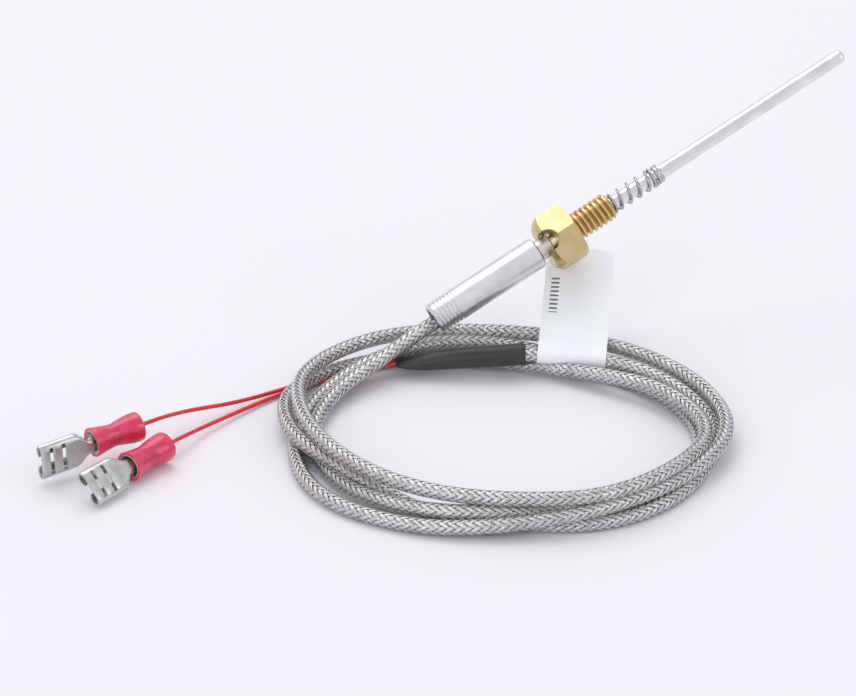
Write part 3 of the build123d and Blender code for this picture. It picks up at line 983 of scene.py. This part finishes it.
@dataclass
class Studio:
    """The floor, the lights and the camera."""

    floor_height: float = -26.25
    camera_place: Point = (-363.10, -759.7, 399.63)
    camera_way: Point = (0.3538, 0.8178, -0.4540)
    lens: float = 180.0
    surround: float = 0.80
    overhead: float = 3.3
    left_side: float = 1.2
    right_side: float = 1.0

    def build(self, floor_finish: bpy.types.Material) -> None:
        """Set up everything round the object."""
        self._floor(floor_finish)
        self._lights()
        self._camera()
        settings = bpy.context.scene.view_settings
        settings.view_transform = "Standard"
        settings.look = "None"

    def _floor(self, finish: bpy.types.Material) -> None:
        """A wide pale sheet under the object, which isn't part of it."""
        deselect()
        bpy.ops.mesh.primitive_plane_add(size=6.0, location=(0.0, 0.0, self.floor_height * MM))
        floor = bpy.context.object
        floor.name = "studio_floor"
        dress(floor, finish)

    def _lights(self) -> None:
        """A pale surround, a broad light overhead and two softer ones in front."""
        world = bpy.data.worlds.new("studio_surround")
        bpy.context.scene.world = world
        world.use_nodes = True
        surround = world.node_tree.nodes["Background"]
        surround.inputs["Color"].default_value = (0.93, 0.93, 1.0, 1.0)
        surround.inputs["Strength"].default_value = self.surround
        for name, place, size, power, tint in (
            ("overhead", (0.00, 0.45, 0.90), 0.80, self.overhead, (1.0, 0.99, 0.98)),
            ("left_side", (-0.70, -0.60, 0.45), 0.50, self.left_side, (0.97, 0.98, 1.0)),
            ("right_side", (0.60, -0.75, 0.45), 0.50, self.right_side, (1.0, 0.98, 0.97)),
        ):
            light = bpy.data.lights.new(name, "AREA")
            light.size = size
            light.energy = power
            light.color = tint
            lamp = bpy.data.objects.new(name, light)
            lamp.location = place
            lamp.rotation_euler = (-Vector(place)).to_track_quat("-Z", "Y").to_euler()
            bpy.context.scene.collection.objects.link(lamp)

    def _camera(self) -> None:
        """The camera that looks down at the object from the front left."""
        view = bpy.data.cameras.new("studio_camera")
        view.lens = self.lens
        view.sensor_width = 36.0
        view.clip_start = 0.05
        view.clip_end = 20.0
        camera = bpy.data.objects.new("studio_camera", view)
        camera.location = Vector(self.camera_place) * MM
        camera.rotation_euler = Vector(self.camera_way).to_track_quat("-Z", "Y").to_euler()
        bpy.context.scene.collection.objects.link(camera)
        bpy.context.scene.camera = camera


# --- the probe, its sleeve, bushing and spring ---------------------------------


@dataclass
class TransitionSleeve:
    """The turned sleeve over the joint of sheath and cable, threaded at its rear."""

    radius: float = 3.55
    root: float = 3.24
    pitch: float = 0.907
    crest_share: float = 0.46
    rear: float = -36.55
    thread_end: float = -30.8
    front: float = -9.35
    nose_radius: float = 2.35
    nose_end: float = -6.0
    nose_cut: float = 0.3
    chamfer: float = 0.3
    bore: float = 2.5
    bore_end: float = -12.8
    sheath_hole: float = 1.6

    def build(self, finish: bpy.types.Material) -> None:
        """Thread, turn and bore the sleeve."""
        sleeve = threaded_rod(
            "sleeve_turned", (self.root, self.radius - 0.01), self.pitch, self.crest_share,
            (self.rear, self.thread_end + 0.3), lambda height: self.root - 0.05 + height - self.rear,
        )
        combine(sleeve, self._body(), "UNION")
        combine(sleeve, self._hole(), "DIFFERENCE")
        settle(
            sleeve, PROBE.matrix(), Body.PROBE, finish,
            ("transition_sleeve",), math.radians(28.0),
        )

    def _body(self) -> bpy.types.Object:
        """The plain barrel and its nose, as a solid."""
        cut = self.chamfer
        return turned("sleeve_body", (
            (0.0, self.thread_end), (self.root, self.thread_end), (self.root, self.thread_end + 0.1),
            (self.radius, self.thread_end + 0.3), (self.radius, self.front - cut),
            (self.radius - cut, self.front), (self.nose_radius + 0.12, self.front),
            (self.nose_radius, self.front + 0.12), (self.nose_radius, self.nose_end - self.nose_cut),
            (self.nose_radius - self.nose_cut, self.nose_end), (0.0, self.nose_end),
        ))

    def _hole(self) -> bpy.types.Object:
        """The bore for the cable, narrowed to the sheath."""
        lip = 0.35
        return turned("sleeve_hole", (
            (0.0, self.rear - 1.0), (self.bore + lip, self.rear - 1.0),
            (self.bore + lip - 0.15, self.rear - 0.01), (self.bore, self.rear + lip),
            (self.bore, self.bore_end), (self.sheath_hole, self.bore_end),
            (self.sheath_hole, self.nose_end + 1.0), (0.0, self.nose_end + 1.0),
        ))


@dataclass
class ThreadedBushing:
    """The brass bushing: a slotted hexagon and a threaded shank."""

    across_flats: float = 12.0
    corner_angle: float = 16.9
    rear: float = -7.75
    rear_cut: tuple[float, float] = (2.0, 1.75)  # inward from a corner, and along the axis
    front_cut: tuple[float, float] = (0.6, 0.4)
    slot_width: float = 5.0
    slot_floor: float = -4.55
    slot_angle: float = -43.1
    root: float = 2.55
    crest: float = 3.17
    pitch: float = 1.27
    crest_share: float = 0.38
    thread_length: float = 9.6
    lead_in: float = 0.6
    bore: float = 1.65
    edge: float = 0.09

    def build(self, finish: bpy.types.Material) -> None:
        """Mill the head, cut the thread, join and bore them."""
        head = self._head()
        shank = threaded_rod(
            "bushing_shank", (self.root, self.crest), self.pitch, self.crest_share,
            (-0.4, self.thread_length),
            lambda height: self.crest - self.lead_in + (self.thread_length - height),
        )
        combine(head, shank, "UNION")
        top = self.thread_length
        hole = turned("bushing_hole", (
            (0.0, self.rear - 1.0), (self.bore, self.rear - 1.0), (self.bore, top - 0.25),
            (self.bore + 0.4, top + 0.15), (self.bore + 0.4, top + 1.0), (0.0, top + 1.0),
        ), 64)
        combine(head, hole, "DIFFERENCE")
        settle(
            head, PROBE.matrix(), Body.BUSHING, finish,
            ("threaded_bushing",), math.radians(25.0),
        )

    def _head(self) -> bpy.types.Object:
        """The hexagon with its rear corners turned off and its slot cut."""
        radius = self.across_flats / math.sqrt(3.0)
        outside = radius + 1.0
        deselect()
        bpy.ops.mesh.primitive_cylinder_add(
            vertices=6, radius=radius, depth=-self.rear, location=(0.0, 0.0, self.rear / 2.0),
        )
        head = bpy.context.object
        head.name = "bushing_turned"
        bpy.ops.object.transform_apply(location=True)
        first = head.data.vertices[0].co
        back_turn = math.radians(self.corner_angle) - math.atan2(first.y, first.x)
        head.data.transform(Matrix.Rotation(back_turn, 4, "Z"))
        rear_start, front_start = radius - self.rear_cut[0], radius - self.front_cut[0]
        rear_depth = (outside - rear_start) * self.rear_cut[1] / self.rear_cut[0]
        front_depth = (outside - front_start) * self.front_cut[1] / self.front_cut[0]
        cone = turned("corner_cone", (
            (0.0, self.rear), (rear_start, self.rear), (outside, self.rear + rear_depth),
            (outside, -front_depth), (front_start, 0.0), (0.0, 0.0),
        ), 160)
        combine(head, cone, "INTERSECT")
        self._cut_slot(head, outside)
        apply_modifier(
            head, "BEVEL", width=self.edge, segments=2, limit_method="ANGLE",
            angle_limit=math.radians(24.0), use_clamp_overlap=True,
        )
        return head

    def _cut_slot(self, head: bpy.types.Object, outside: float) -> None:
        """Mill the slot across the rear of the head, with its half-round floor.

        Args:
            head: the hexagon, in its own millimetres.
            outside: a radius outside the hexagon.
        """
        half = self.slot_width / 2.0
        middle = self.slot_floor - half
        deep = middle - self.rear + 1.0
        way = math.radians(self.slot_angle)
        deselect()
        bpy.ops.mesh.primitive_cube_add(
            size=1.0, location=(0.0, 0.0, middle - deep / 2.0), rotation=(0.0, 0.0, way),
            scale=(2.0 * outside, self.slot_width, deep),
        )
        slot = bpy.context.object
        bpy.ops.object.transform_apply(location=True, rotation=True, scale=True)
        deselect()
        bpy.ops.mesh.primitive_cylinder_add(
            vertices=64, radius=half, depth=2.0 * outside, location=(0.0, 0.0, middle),
            rotation=(0.0, math.pi / 2.0, way),
        )
        mill = bpy.context.object
        bpy.ops.object.transform_apply(location=True, rotation=True, scale=True)
        combine(slot, mill, "UNION")
        combine(head, slot, "DIFFERENCE")


@dataclass
class LoadingSpring:
    """The compression spring between the bushing and the stop collar."""

    start: float = 9.6
    end: float = 21.5
    wire: float = 0.6
    mean_radius: float = 2.06
    closed_start: float = 1.0
    open_turns: float = 4.0
    closed_end: float = 1.6
    per_turn: int = 16
    shortest: float = 5.9
    first_angle: float = math.radians(200.0)

    def build(self, finish: bpy.types.Material) -> None:
        """Wind the spring and fix it to the spring body."""
        spring = spline_curve("spring_wound", self._points(), self.wire / 2.0, None)
        activate(spring)
        bpy.ops.object.convert(target="MESH")
        spring = bpy.context.object
        close_up(spring, 0.0)
        activate(spring)
        bpy.ops.object.shade_smooth_by_angle(angle=SMOOTH_ANGLE)
        dress(spring, finish)
        ride(spring, Body.SPRING, ("loading_spring",))
        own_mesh(spring)

    def _points(self) -> list[Vector]:
        """The wire's control points: closed turns at both ends, open ones between."""
        touching = self.wire * 1.04
        run = self.end - self.start - self.wire
        open_pitch = (run - touching * (self.closed_start + self.closed_end)) / self.open_turns
        turns = self.closed_start + self.open_turns + self.closed_end
        reach = self.mean_radius / math.cos(math.pi / self.per_turn)
        points = []
        for step in range(int(turns * self.per_turn) + 1):
            turn = step / self.per_turn
            open_share = min(max(turn - self.closed_start, 0.0), self.open_turns)
            height = self.start + self.wire / 2.0 + touching * (turn - open_share) + open_pitch * open_share
            angle = self.first_angle - 2.0 * math.pi * turn
            place = Vector((reach * math.cos(angle), reach * math.sin(angle), height))
            points.append(PROBE.matrix() @ place / MM)
        return points


@dataclass
class ProbeStem:
    """The closed sheath and the stop collar crimped on it."""

    radius: float = 1.5875
    collar_start: float = 21.5
    collar_end: float = 23.0
    collar_radius: float = 2.2

    def build(self, collar_finish: bpy.types.Material) -> None:
        """Turn the collar, with its outer edges rolled over."""
        low, high, out = self.collar_start, self.collar_end, self.collar_radius
        inner = self.radius + 0.01
        collar = turned("collar_crimped", (
            (inner, low + 0.1), (out - 0.28, low), (out - 0.06, low + 0.08), (out, low + 0.3),
            (out - 0.05, low + 0.62), (out - 0.12, low + 0.75), (out - 0.05, low + 0.88), (out, low + 1.1),
            (out - 0.1, high - 0.12), (out - 0.32, high), (inner + 0.12, high), (inner, high - 0.12),
        ), 64, closed=True)
        settle(collar, PROBE.matrix(), Body.PROBE, collar_finish, ("spring_collar",))


# --- terminals and leads -------------------------------------------------------


@dataclass(frozen=True)
class TerminalPlace:
    """Where a terminal lies: its wire end, its front end and the turn of its back."""

    label: str
    wire_end: Point
    front_end: Point
    back_turn: float
    lead: tuple[Point, ...]

    def matrix(self) -> Matrix:
        """The place of a terminal's own millimetres in the row frame."""
        start = TABLE.point(*self.wire_end)
        forward = (TABLE.point(*self.front_end) - start).normalized()
        upward = (Vector((0.0, 0.0, 1.0)) - forward * forward.z).normalized()
        columns = (upward, forward.cross(upward), forward)
        level = Matrix([list(c) for c in columns]).transposed().to_4x4()
        turn = Matrix.Rotation(math.radians(self.back_turn), 4, "Z")
        return TO_METRES @ Matrix.Translation(start) @ level @ turn


@dataclass
class ReceptacleTerminal:
    """A stamped push-on receptacle in an insulating grip, with its support sleeve."""

    sheet: float = 0.42
    back: float = -1.49
    slots: tuple[tuple[float, float], ...] = ((21.15, 22.0), (18.25, 19.1))
    slot_reach: float = 3.05
    # distance from the wire end, half the flat's width, the roll's half width and height, its angle
    sections: tuple[tuple[float, float, float, float, float], ...] = (
        (24.0, 2.40, 1.29, 0.94, 252.0), (20.0, 2.40, 1.29, 0.94, 252.0), (16.6, 2.42, 1.27, 0.94, 246.0),
        (16.0, 2.50, 1.18, 0.94, 180.0), (15.5, 2.52, 1.05, 0.92, 122.0), (15.0, 2.42, 0.90, 0.88, 94.0),
        (14.4, 2.0, 0.82, 0.82, 78.0), (13.8, 1.45, 0.76, 0.76, 72.0), (13.2, 1.02, 0.74, 0.74, 74.0),
        (12.6, 0.80, 0.82, 0.82, 84.0), (12.0, 0.62, 0.98, 0.98, 104.0), (11.2, 0.42, 1.20, 1.20, 138.0),
        (10.2, 0.16, 1.43, 1.43, 168.0), (9.4, 0.05, 1.46, 1.46, 176.0), (2.8, 0.05, 1.46, 1.46, 176.0),
    )
    arc_steps: int = 12
    flat_steps: int = 6
    # height, half width and half depth of the grip's outline, from inside one mouth to the other
    grip_rings: tuple[Point, ...] = (
        (1.0, 2.30, 2.30), (0.0, 2.42, 2.42), (0.0, 2.95, 2.95), (0.15, 3.12, 3.12), (0.45, 3.19, 3.19),
        (1.6, 3.18, 3.15), (2.6, 3.10, 3.02), (3.6, 2.96, 2.78), (4.6, 2.84, 2.58), (5.6, 2.76, 2.48),
        (6.6, 2.72, 2.44), (7.6, 2.72, 2.46), (8.6, 2.80, 2.62), (9.6, 2.94, 2.86), (10.4, 3.06, 3.03),
        (11.0, 3.16, 3.14), (11.3, 3.16, 3.16), (11.4, 3.06, 3.06), (11.4, 2.66, 2.66), (11.25, 2.58, 2.58),
        (10.2, 2.32, 2.32),
    )
    # height, facing in degrees and depth of each mark of the crimping tool
    dimples: tuple[Point, ...] = (
        (6.3, 200.0, 0.30), (4.4, 250.0, 0.20), (8.3, 160.0, 0.16), (6.5, 20.0, 0.28), (3.2, 170.0, 0.14),
    )
    dimple_height: float = 1.1
    dimple_sweep: float = 34.0
    mouth: float = 2.45

    def build_metal(self) -> bpy.types.Object:
        """Bend the stamping from one strip of sheet and cut its two slots.

        Returns:
            The stamping in its own millimetres, z towards the front.
        """
        outlines = [self._outline(*section) for section in self.sections]
        strip = drawn_outline("receptacle_pattern", outlines[0])
        bpy.ops.object.mode_set(mode="EDIT")
        bpy.ops.mesh.select_all(action="SELECT")
        for here, there in zip(self.sections, self.sections[1:]):
            step = (0.0, 0.0, there[0] - here[0])
            bpy.ops.mesh.extrude_region_move(TRANSFORM_OT_translate={"value": step})
        bpy.ops.object.mode_set(mode="OBJECT")
        self._bend(strip, outlines)
        apply_modifier(strip, "SOLIDIFY", thickness=self.sheet, offset=0.0, use_even_offset=True)
        for low, high in self.slots:
            deselect()
            bpy.ops.mesh.primitive_cube_add(
                size=1.0, location=(0.0, self.back, (low + high) / 2.0),
                scale=(2.0 * self.slot_reach, 2.0 * self.sheet, high - low),
            )
            cutter = bpy.context.object
            bpy.ops.object.transform_apply(location=True, rotation=True, scale=True)
            combine(strip, cutter, "DIFFERENCE")
        apply_modifier(
            strip, "BEVEL", width=0.05, segments=2, limit_method="ANGLE", angle_limit=math.radians(50.0),
        )
        return strip

    def _outline(self, height: float, half_flat: float, wide: float, roll: float, curl: float) -> list[Point]:
        """One section of the strip: a curled edge, the flat back, the other edge."""
        sweep = math.radians(curl)
        right = []
        for step in range(1, self.arc_steps + 1):
            angle = -math.pi / 2.0 + sweep * step / self.arc_steps
            rise = self.back + roll + roll * math.sin(angle)
            right.append((half_flat + wide * math.cos(angle), rise, height))
        flat = [
            (half_flat * (2.0 * step / self.flat_steps - 1.0), self.back, height)
            for step in range(self.flat_steps + 1)
        ]
        left = [(-x, y, z) for x, y, z in reversed(right)]
        return left + flat + right

    @staticmethod
    def _bend(strip: bpy.types.Object, outlines: Sequence[Sequence[Point]]) -> None:
        """Move each straight-extruded section to its own outline."""
        first = outlines[0]
        for vertex in strip.data.vertices:
            section = min(outlines, key=lambda outline: abs(outline[0][2] - vertex.co.z))
            across = min(
                range(len(first)),
                key=lambda k: (first[k][0] - vertex.co.x) ** 2 + (first[k][1] - vertex.co.y) ** 2,
            )
            vertex.co = section[across]

    def build_grip(self) -> bpy.types.Object:
        """Mould the grip and pinch it where it was crimped."""
        rings = [(height, wide, deep, 0.0, 0.0) for height, wide, deep in self.grip_rings]
        grip = lofted("grip_pattern", rings + [rings[0]], 48)
        for vertex in grip.data.vertices:
            angle = math.degrees(math.atan2(vertex.co.y, vertex.co.x)) % 360.0
            if vertex.co.xy.length < self.mouth:
                continue
            press = 0.0
            for height, facing, depth in self.dimples:
                off = (vertex.co.z - height) / self.dimple_height
                aside = ((angle - facing + 180.0) % 360.0 - 180.0) / self.dimple_sweep
                press += depth * math.exp(-off ** 2 - aside ** 2)
            vertex.co.xy *= 1.0 - press / vertex.co.xy.length
        return grip

    @staticmethod
    def build_liner() -> bpy.types.Object:
        """Turn the thin metal sleeve that lines the grip, flared at its mouth."""
        return turned("liner_pattern", (
            (1.80, 0.8), (2.25, 0.8), (2.25, 10.0), (2.50, 11.1),
            (2.56, 11.3), (2.42, 11.35), (2.12, 10.4), (1.80, 9.4),
        ), 48, closed=True)


@dataclass
class LeadsAndTerminals:
    """The two insulated leads and the receptacles crimped on them."""

    lead_diameter: float = 0.9
    lead_gap: float = 0.2
    places: tuple[TerminalPlace, ...] = (
        TerminalPlace(
            "first", (-77.0, -0.7, 6.4), (-97.0, -14.3, 5.2), 0.0,
            (
                (-33.5, 33.0, 1.6), (-41.9, 31.5, 0.6), (-48.2, 26.6, 0.6), (-57.8, 18.7, 1.6),
                (-67.0, 12.8, 3.0), (-72.2, 5.2, 5.4), (-75.35, 0.42, 6.5), (-80.55, -3.12, 6.19),
            ),
        ),
        TerminalPlace(
            "second", (-71.35, -4.5, 3.7), (-86.0, -23.0, 3.45), 42.0,
            (
                (-33.5, 31.7, 1.6), (-41.9, 29.4, 0.6), (-48.2, 24.8, 0.6), (-56.6, 16.2, 1.0),
                (-64.4, 7.0, 1.8), (-69.6, -1.9, 3.5), (-73.3, -6.9, 3.67),
            ),
        ),
    )

    def build(self, leave: Vector, side: Vector, finishes: dict[str, bpy.types.Material]) -> None:
        """Args:
            leave: where the leads leave the heat-shrink, in mm.
            side: the direction in which they lie side by side there.
            finishes: the lead, metal, liner and grip finishes.
        """
        stamping = ReceptacleTerminal()
        metal, liner, grip = finishes["metal"], finishes["liner"], finishes["grip"]
        patterns = (
            ("receptacle_stamped", stamping.build_metal(), metal, "tinned_brass", "receptacle"),
            ("support_sleeve_rolled", stamping.build_liner(), liner, "tinned_brass", "support_sleeve"),
            ("grip_crimped", stamping.build_grip(), grip, "red_grip", "insulation_grip"),
        )
        for place, lane in zip(self.places, (0.5, -0.5)):
            for name, pattern, finish, slot, node in patterns:
                copy = bpy.data.objects.new(f"{place.label}_{name}", pattern.data.copy())
                bpy.context.scene.collection.objects.link(copy)
                stands_for = (f"{place.label}_{node}",)
                settle(copy, place.matrix(), Body.PROBE, finish, stands_for)
            begin = leave + side * lane * (self.lead_diameter + self.lead_gap)
            route = [begin] + [TABLE.point(*point) for point in place.lead]
            lead = spline_curve(f"{place.label}_lead", route, self.lead_diameter / 2.0, finishes["lead"])
            ride(lead, Body.PROBE, (f"{place.label}_lead_wire",))
            length = line_length(centreline(route, 1.0))
        for _, pattern, _, _, _ in patterns:
            bpy.data.objects.remove(pattern)


# --- heat-shrink and label -----------------------------------------------------


@dataclass
class HeatShrink:
    """The black sleeve shrunk over the cable's end, pinched flat round the leads."""

    start: Point = (4.3, 34.0, 5.5)
    end: Point = (-23.6, 34.2, 3.5)
    # share of the length, half width, half height, shift down
    rings: tuple[tuple[float, float, float, float], ...] = (
        (0.03, 1.66, 1.66, 0.0), (0.0, 1.72, 1.72, 0.0), (0.0, 2.28, 2.28, 0.0), (0.006, 2.42, 2.42, 0.0),
        (0.03, 2.45, 2.45, 0.0), (0.2, 2.40, 2.38, 0.0), (0.4, 2.36, 2.34, 0.0), (0.55, 2.38, 2.30, 0.05),
        (0.66, 2.40, 2.16, 0.15), (0.75, 2.42, 1.9, 0.28), (0.82, 2.40, 1.6, 0.42), (0.88, 2.30, 1.3, 0.5),
        (0.93, 2.12, 1.02, 0.45), (0.97, 1.86, 0.82, 0.3), (0.995, 1.62, 0.70, 0.18), (1.0, 1.45, 0.60, 0.15),
    )
    mouth: float = 1.7
    ripple: float = 0.02

    @property
    def tip(self) -> Vector:
        """Where the leads come out, in mm."""
        return TABLE.point(*self.end)

    @property
    def forward(self) -> Vector:
        """The direction from the cable to the leads."""
        return (self.tip - TABLE.point(*self.start)).normalized()

    @property
    def side(self) -> Vector:
        """The level direction across the sleeve."""
        return self.forward.cross(Vector((0.0, 0.0, 1.0))).normalized()

    def build(self, finish: bpy.types.Material) -> bpy.types.Object:
        """Loft the sleeve, close its ends and fix it in place."""
        begin = TABLE.point(*self.start)
        length = (self.tip - begin).length
        rings = [(share * length, wide, high, 0.0, drop) for share, wide, high, drop in self.rings]
        sleeve = lofted("heat_shrink_sleeve", rings, 40)
        for height, reach in ((rings[0][0], self.mouth), (rings[-1][0], math.inf)):
            choose_vertices(sleeve, lambda place: abs(place.z - height) < 0.01 and place.xy.length < reach)
            bpy.ops.mesh.edge_face_add()
            bpy.ops.object.mode_set(mode="OBJECT")
        close_up(sleeve)
        for vertex in sleeve.data.vertices:
            if vertex.co.z > 1.0:
                angle = math.atan2(vertex.co.y, vertex.co.x)
                wave = math.sin(vertex.co.z * 1.1 + 1.3 * angle) * math.sin(vertex.co.z * 0.37)
                vertex.co.xy *= 1.0 + self.ripple * wave
        columns = (self.side, self.forward.cross(self.side), self.forward)
        level = Matrix([list(c) for c in columns]).transposed().to_4x4()
        place = TO_METRES @ Matrix.Translation(begin) @ level
        return settle(sleeve, place, Body.PROBE, finish, ("heat_shrink",), math.radians(50.0))


@dataclass
class FlagLabel:
    """The white film folded round the cable and stuck to itself as a flag."""

    width: float = 14.8
    reach: float = 28.9
    lean: float = math.radians(28.0)
    shift: float = 0.7
    skin: float = 0.14
    wrap: float = 1.76
    curl: float = 3.6
    flat_share: float = 0.35
    across_steps: int = 14

    def outline(self) -> list[tuple[float, float]]:
        """The film's section: the front leaf, the wrap round the cable, the back leaf."""
        front = [
            (reach, 0.14 + 0.30 * ((reach - 9.0) / 20.0) ** 2) for reach in np.linspace(self.reach, 9.0, 12)
        ]
        into = [(7.0, 0.16), (5.6, 0.26), (4.4, 0.56), (3.3, 1.02), (2.3, 1.42)]
        around = [
            (self.wrap * math.cos(math.radians(angle)), self.wrap * math.sin(math.radians(angle)))
            for angle in range(60, 301, 15)
        ]
        back = [(reach, -high) for reach, high in reversed(into)]
        rear = [(reach, -0.14) for reach in np.linspace(9.0, self.reach - 0.7, 12)]
        return [*front, *into, *around, *back, *rear]

    def build(
        self, finish: bpy.types.Material, strand: tuple[Vector, Vector], line: np.ndarray,
    ) -> bpy.types.Object:
        """Lay the film in its folded shape and give it its thickness.

        Args:
            finish: the film's finish.
            strand: the label's right-hand end on the cable and the cable's direction there.
            line: points of the cable's own line, in mm.
        Returns:
            The label.
        """
        right, along = strand
        near = line[np.linalg.norm(line - np.array(right), axis=1) < 2.0 * self.width]
        reached = (near - np.array(right)) @ np.array(along)
        flag = TABLE.deep * math.cos(self.lean) + Vector((0.0, 0.0, math.sin(self.lean)))
        flag = (flag - along * flag.dot(along)).normalized()
        front = flag.cross(along).normalized()
        if front.dot(TABLE.deep) > 0.0:
            front = -front
        section = self.outline()
        runs = [math.dist(a, b) for a, b in zip(section, section[1:])]
        travelled = np.concatenate([[0.0], np.cumsum(runs)])
        points, pairs = [], []
        for column in range(self.across_steps + 1):
            share = column / self.across_steps
            straight = right + along * (share * self.width)
            followed = Vector(near[np.argmin(np.abs(reached - share * self.width))])
            bow = followed - straight - along * (followed - straight).dot(along)
            for (reach, proud), distance in zip(section, travelled):
                height = max(0.0, reach) / self.reach
                curl = self.curl * height ** 2 * (share - self.flat_share) ** 2
                place = straight + bow * (1.0 - height) + flag * reach + front * (proud - curl)
                points.append(place * MM)
                pairs.append((share, distance))
        count = len(section)
        corners = [column * count + row for column in range(self.across_steps) for row in range(count - 1)]
        faces = [(corner, corner + 1, corner + count + 1, corner + count) for corner in corners]
        uvs = np.array([pairs[corner] for face in faces for corner in face])
        label = mesh_piece("label_film", np.array([list(p) for p in points]), np.array(faces), uvs)
        self.length = float(travelled[-1])
        apply_modifier(label, "SOLIDIFY", thickness=self.skin * MM, offset=0.0)
        activate(label)
        bpy.ops.object.shade_smooth_by_angle(angle=math.radians(50.0))
        dress(label, finish)
        ride(label, Body.PROBE, ("wire_label",))
        return label


# --- the whole object ----------------------------------------------------------


@dataclass
class Finishes:
    """Every finish on the object, built once."""

    effects: SharedEffects = field(default_factory=SharedEffects)

    def __post_init__(self) -> None:
        """Make the materials."""
        make = self.effects
        steel = ((0.72, 0.71, 0.71), (0.86, 0.85, 0.85))
        self.sleeve = MetalFinish("turned_steel", *steel, (0.26, 0.42), Axis.AROUND, 9000.0, 0.35).build(make)
        self.sheath = MetalFinish("drawn_steel", *steel, (0.24, 0.38), Axis.ALONG, 7000.0, 0.35).build(make)
        self.collar = MetalFinish(
            "collar_steel", (0.42, 0.41, 0.40), (0.60, 0.59, 0.58), (0.18, 0.32), Axis.AROUND, 7000.0, 0.3,
        ).build(make)
        self.spring = MetalFinish(
            "spring_steel", (0.36, 0.35, 0.35), (0.56, 0.55, 0.54), (0.16, 0.30), Axis.NONE, 5000.0, 0.2,
        ).build(make)
        self.brass = MetalFinish(
            "bushing_brass", (0.62, 0.48, 0.24), (0.72, 0.57, 0.31), (0.26, 0.40), Axis.AROUND, 6000.0, 0.30,
            # painted shade: darker, deeper orange in the thread roots
            root_shade_colour=(0.58, 0.33, 0.08), root_radii=(2.5, 3.05),
        ).build(make)
        self.tin = MetalFinish(
            "tinned_brass", (0.52, 0.52, 0.50), (0.68, 0.68, 0.66), (0.22, 0.40), Axis.NONE, 3500.0, 0.35,
            tarnish_scale=420.0,
        ).build(make)
        self.liner = MetalFinish(
            "liner_metal", (0.60, 0.62, 0.56), (0.74, 0.76, 0.70), (0.25, 0.42), Axis.NONE, 3500.0, 0.2,
        ).build(make)
        self.copper = MetalFinish(
            "splice_copper", (0.62, 0.34, 0.22), (0.78, 0.46, 0.32), (0.25, 0.4),
        ).build(make)
        self.alloy = MetalFinish(
            "thermocouple_alloy", (0.40, 0.36, 0.32), (0.55, 0.50, 0.45), (0.3, 0.45),
        ).build(make)
        self.braid = BraidFinish().build()
        self.braid_shadow = SoftFinish(
            "braid_shadow", (0.05, 0.048, 0.045), (0.09, 0.085, 0.08), (0.5, 0.7),
        ).build(make)
        self.shrink = SoftFinish(
            "shrunk_sleeve", (0.022, 0.019, 0.020), (0.045, 0.038, 0.038), (0.34, 0.5), 1800.0, 0.35, 180.0,
        ).build(make)
        self.lead = SoftFinish(
            "lead_insulation", (0.62, 0.012, 0.018), (0.74, 0.025, 0.030), (0.3, 0.42), 2500.0, 0.15, 400.0,
            coat=0.3,
        ).build(make)
        self.grip = SoftFinish(
            "grip_plastic", (0.60, 0.012, 0.07), (0.80, 0.05, 0.14), (0.16, 0.32), 900.0, 0.25, 420.0,
            coat=0.5, subsurface=0.35,
        ).build(make)
        self.film = LabelFinish().build(make)
        self.ceramic = SoftFinish(
            "packed_insulation", (0.70, 0.68, 0.64), (0.84, 0.82, 0.78), (0.8, 0.95), 5000.0, 0.4,
        ).build(make)
        self.potting = SoftFinish(
            "potting_compound", (0.03, 0.03, 0.03), (0.07, 0.07, 0.07), (0.4, 0.6), 2000.0, 0.3,
        ).build(make)
        self.floor = FloorFinish().build()

    def dress_cad(self) -> None:
        """Give the CAD nodes that stay their materials."""
        for finish, nodes in (
            (self.sheath, ("probe_sheath", "tip_plug")),
            (self.ceramic, ("sheath_insulator",)),
            (self.alloy, ("first_thermoelement", "second_thermoelement", "measuring_junction")),
            (self.potting, ("sleeve_potting",)),
            (self.copper, ("first_splice", "second_splice")),
            (self.lead, ("first_conductor", "second_conductor")),
        ):
            for node in nodes:
                dress(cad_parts[node], finish)
                LOG.info("%s keeps its CAD shape", node)


def label_strand(cable: BraidedCable, label: FlagLabel) -> tuple[Vector, Vector]:
    """Where the label sits on the cable's tail, and the cable's direction there.

    Args:
        cable: the cable, whose last points give the strand.
        label: the label, whose width and shift place its right-hand end.
    Returns:
        The right-hand end in mm and the direction towards the heat-shrink.
    """
    behind, here, end = (TABLE.point(*place) for place in cable.last_points[-3:])
    along = (end - behind * 0.4 - here * 0.6).normalized()
    return here - along * (label.width / 2.0 - label.shift), along


def main() -> None:
    """Build every sub-assembly in order, then the studio."""
    logging.basicConfig(level=logging.INFO, format="%(message)s")
    finishes = Finishes()
    finishes.dress_cad()
    ProbeStem().build(finishes.collar)
    TransitionSleeve().build(finishes.sleeve)
    ThreadedBushing().build(finishes.brass)
    LoadingSpring().build(finishes.spring)
    cable = BraidedCable()
    core, braid = cable.build(finishes.braid_shadow, finishes.braid)
    shrink = HeatShrink()
    shrunk = shrink.build(finishes.shrink)
    label = FlagLabel()
    film = label.build(finishes.film, label_strand(cable, label), cable.line[-len(cable.line) // 5:])
    LeadsAndTerminals().build(
        shrink.tip, shrink.side,
        {"lead": finishes.lead, "metal": finishes.tin, "liner": finishes.liner, "grip": finishes.grip},
    )
    Studio().build(finishes.floor)


if __name__ == "__main__":
    main()
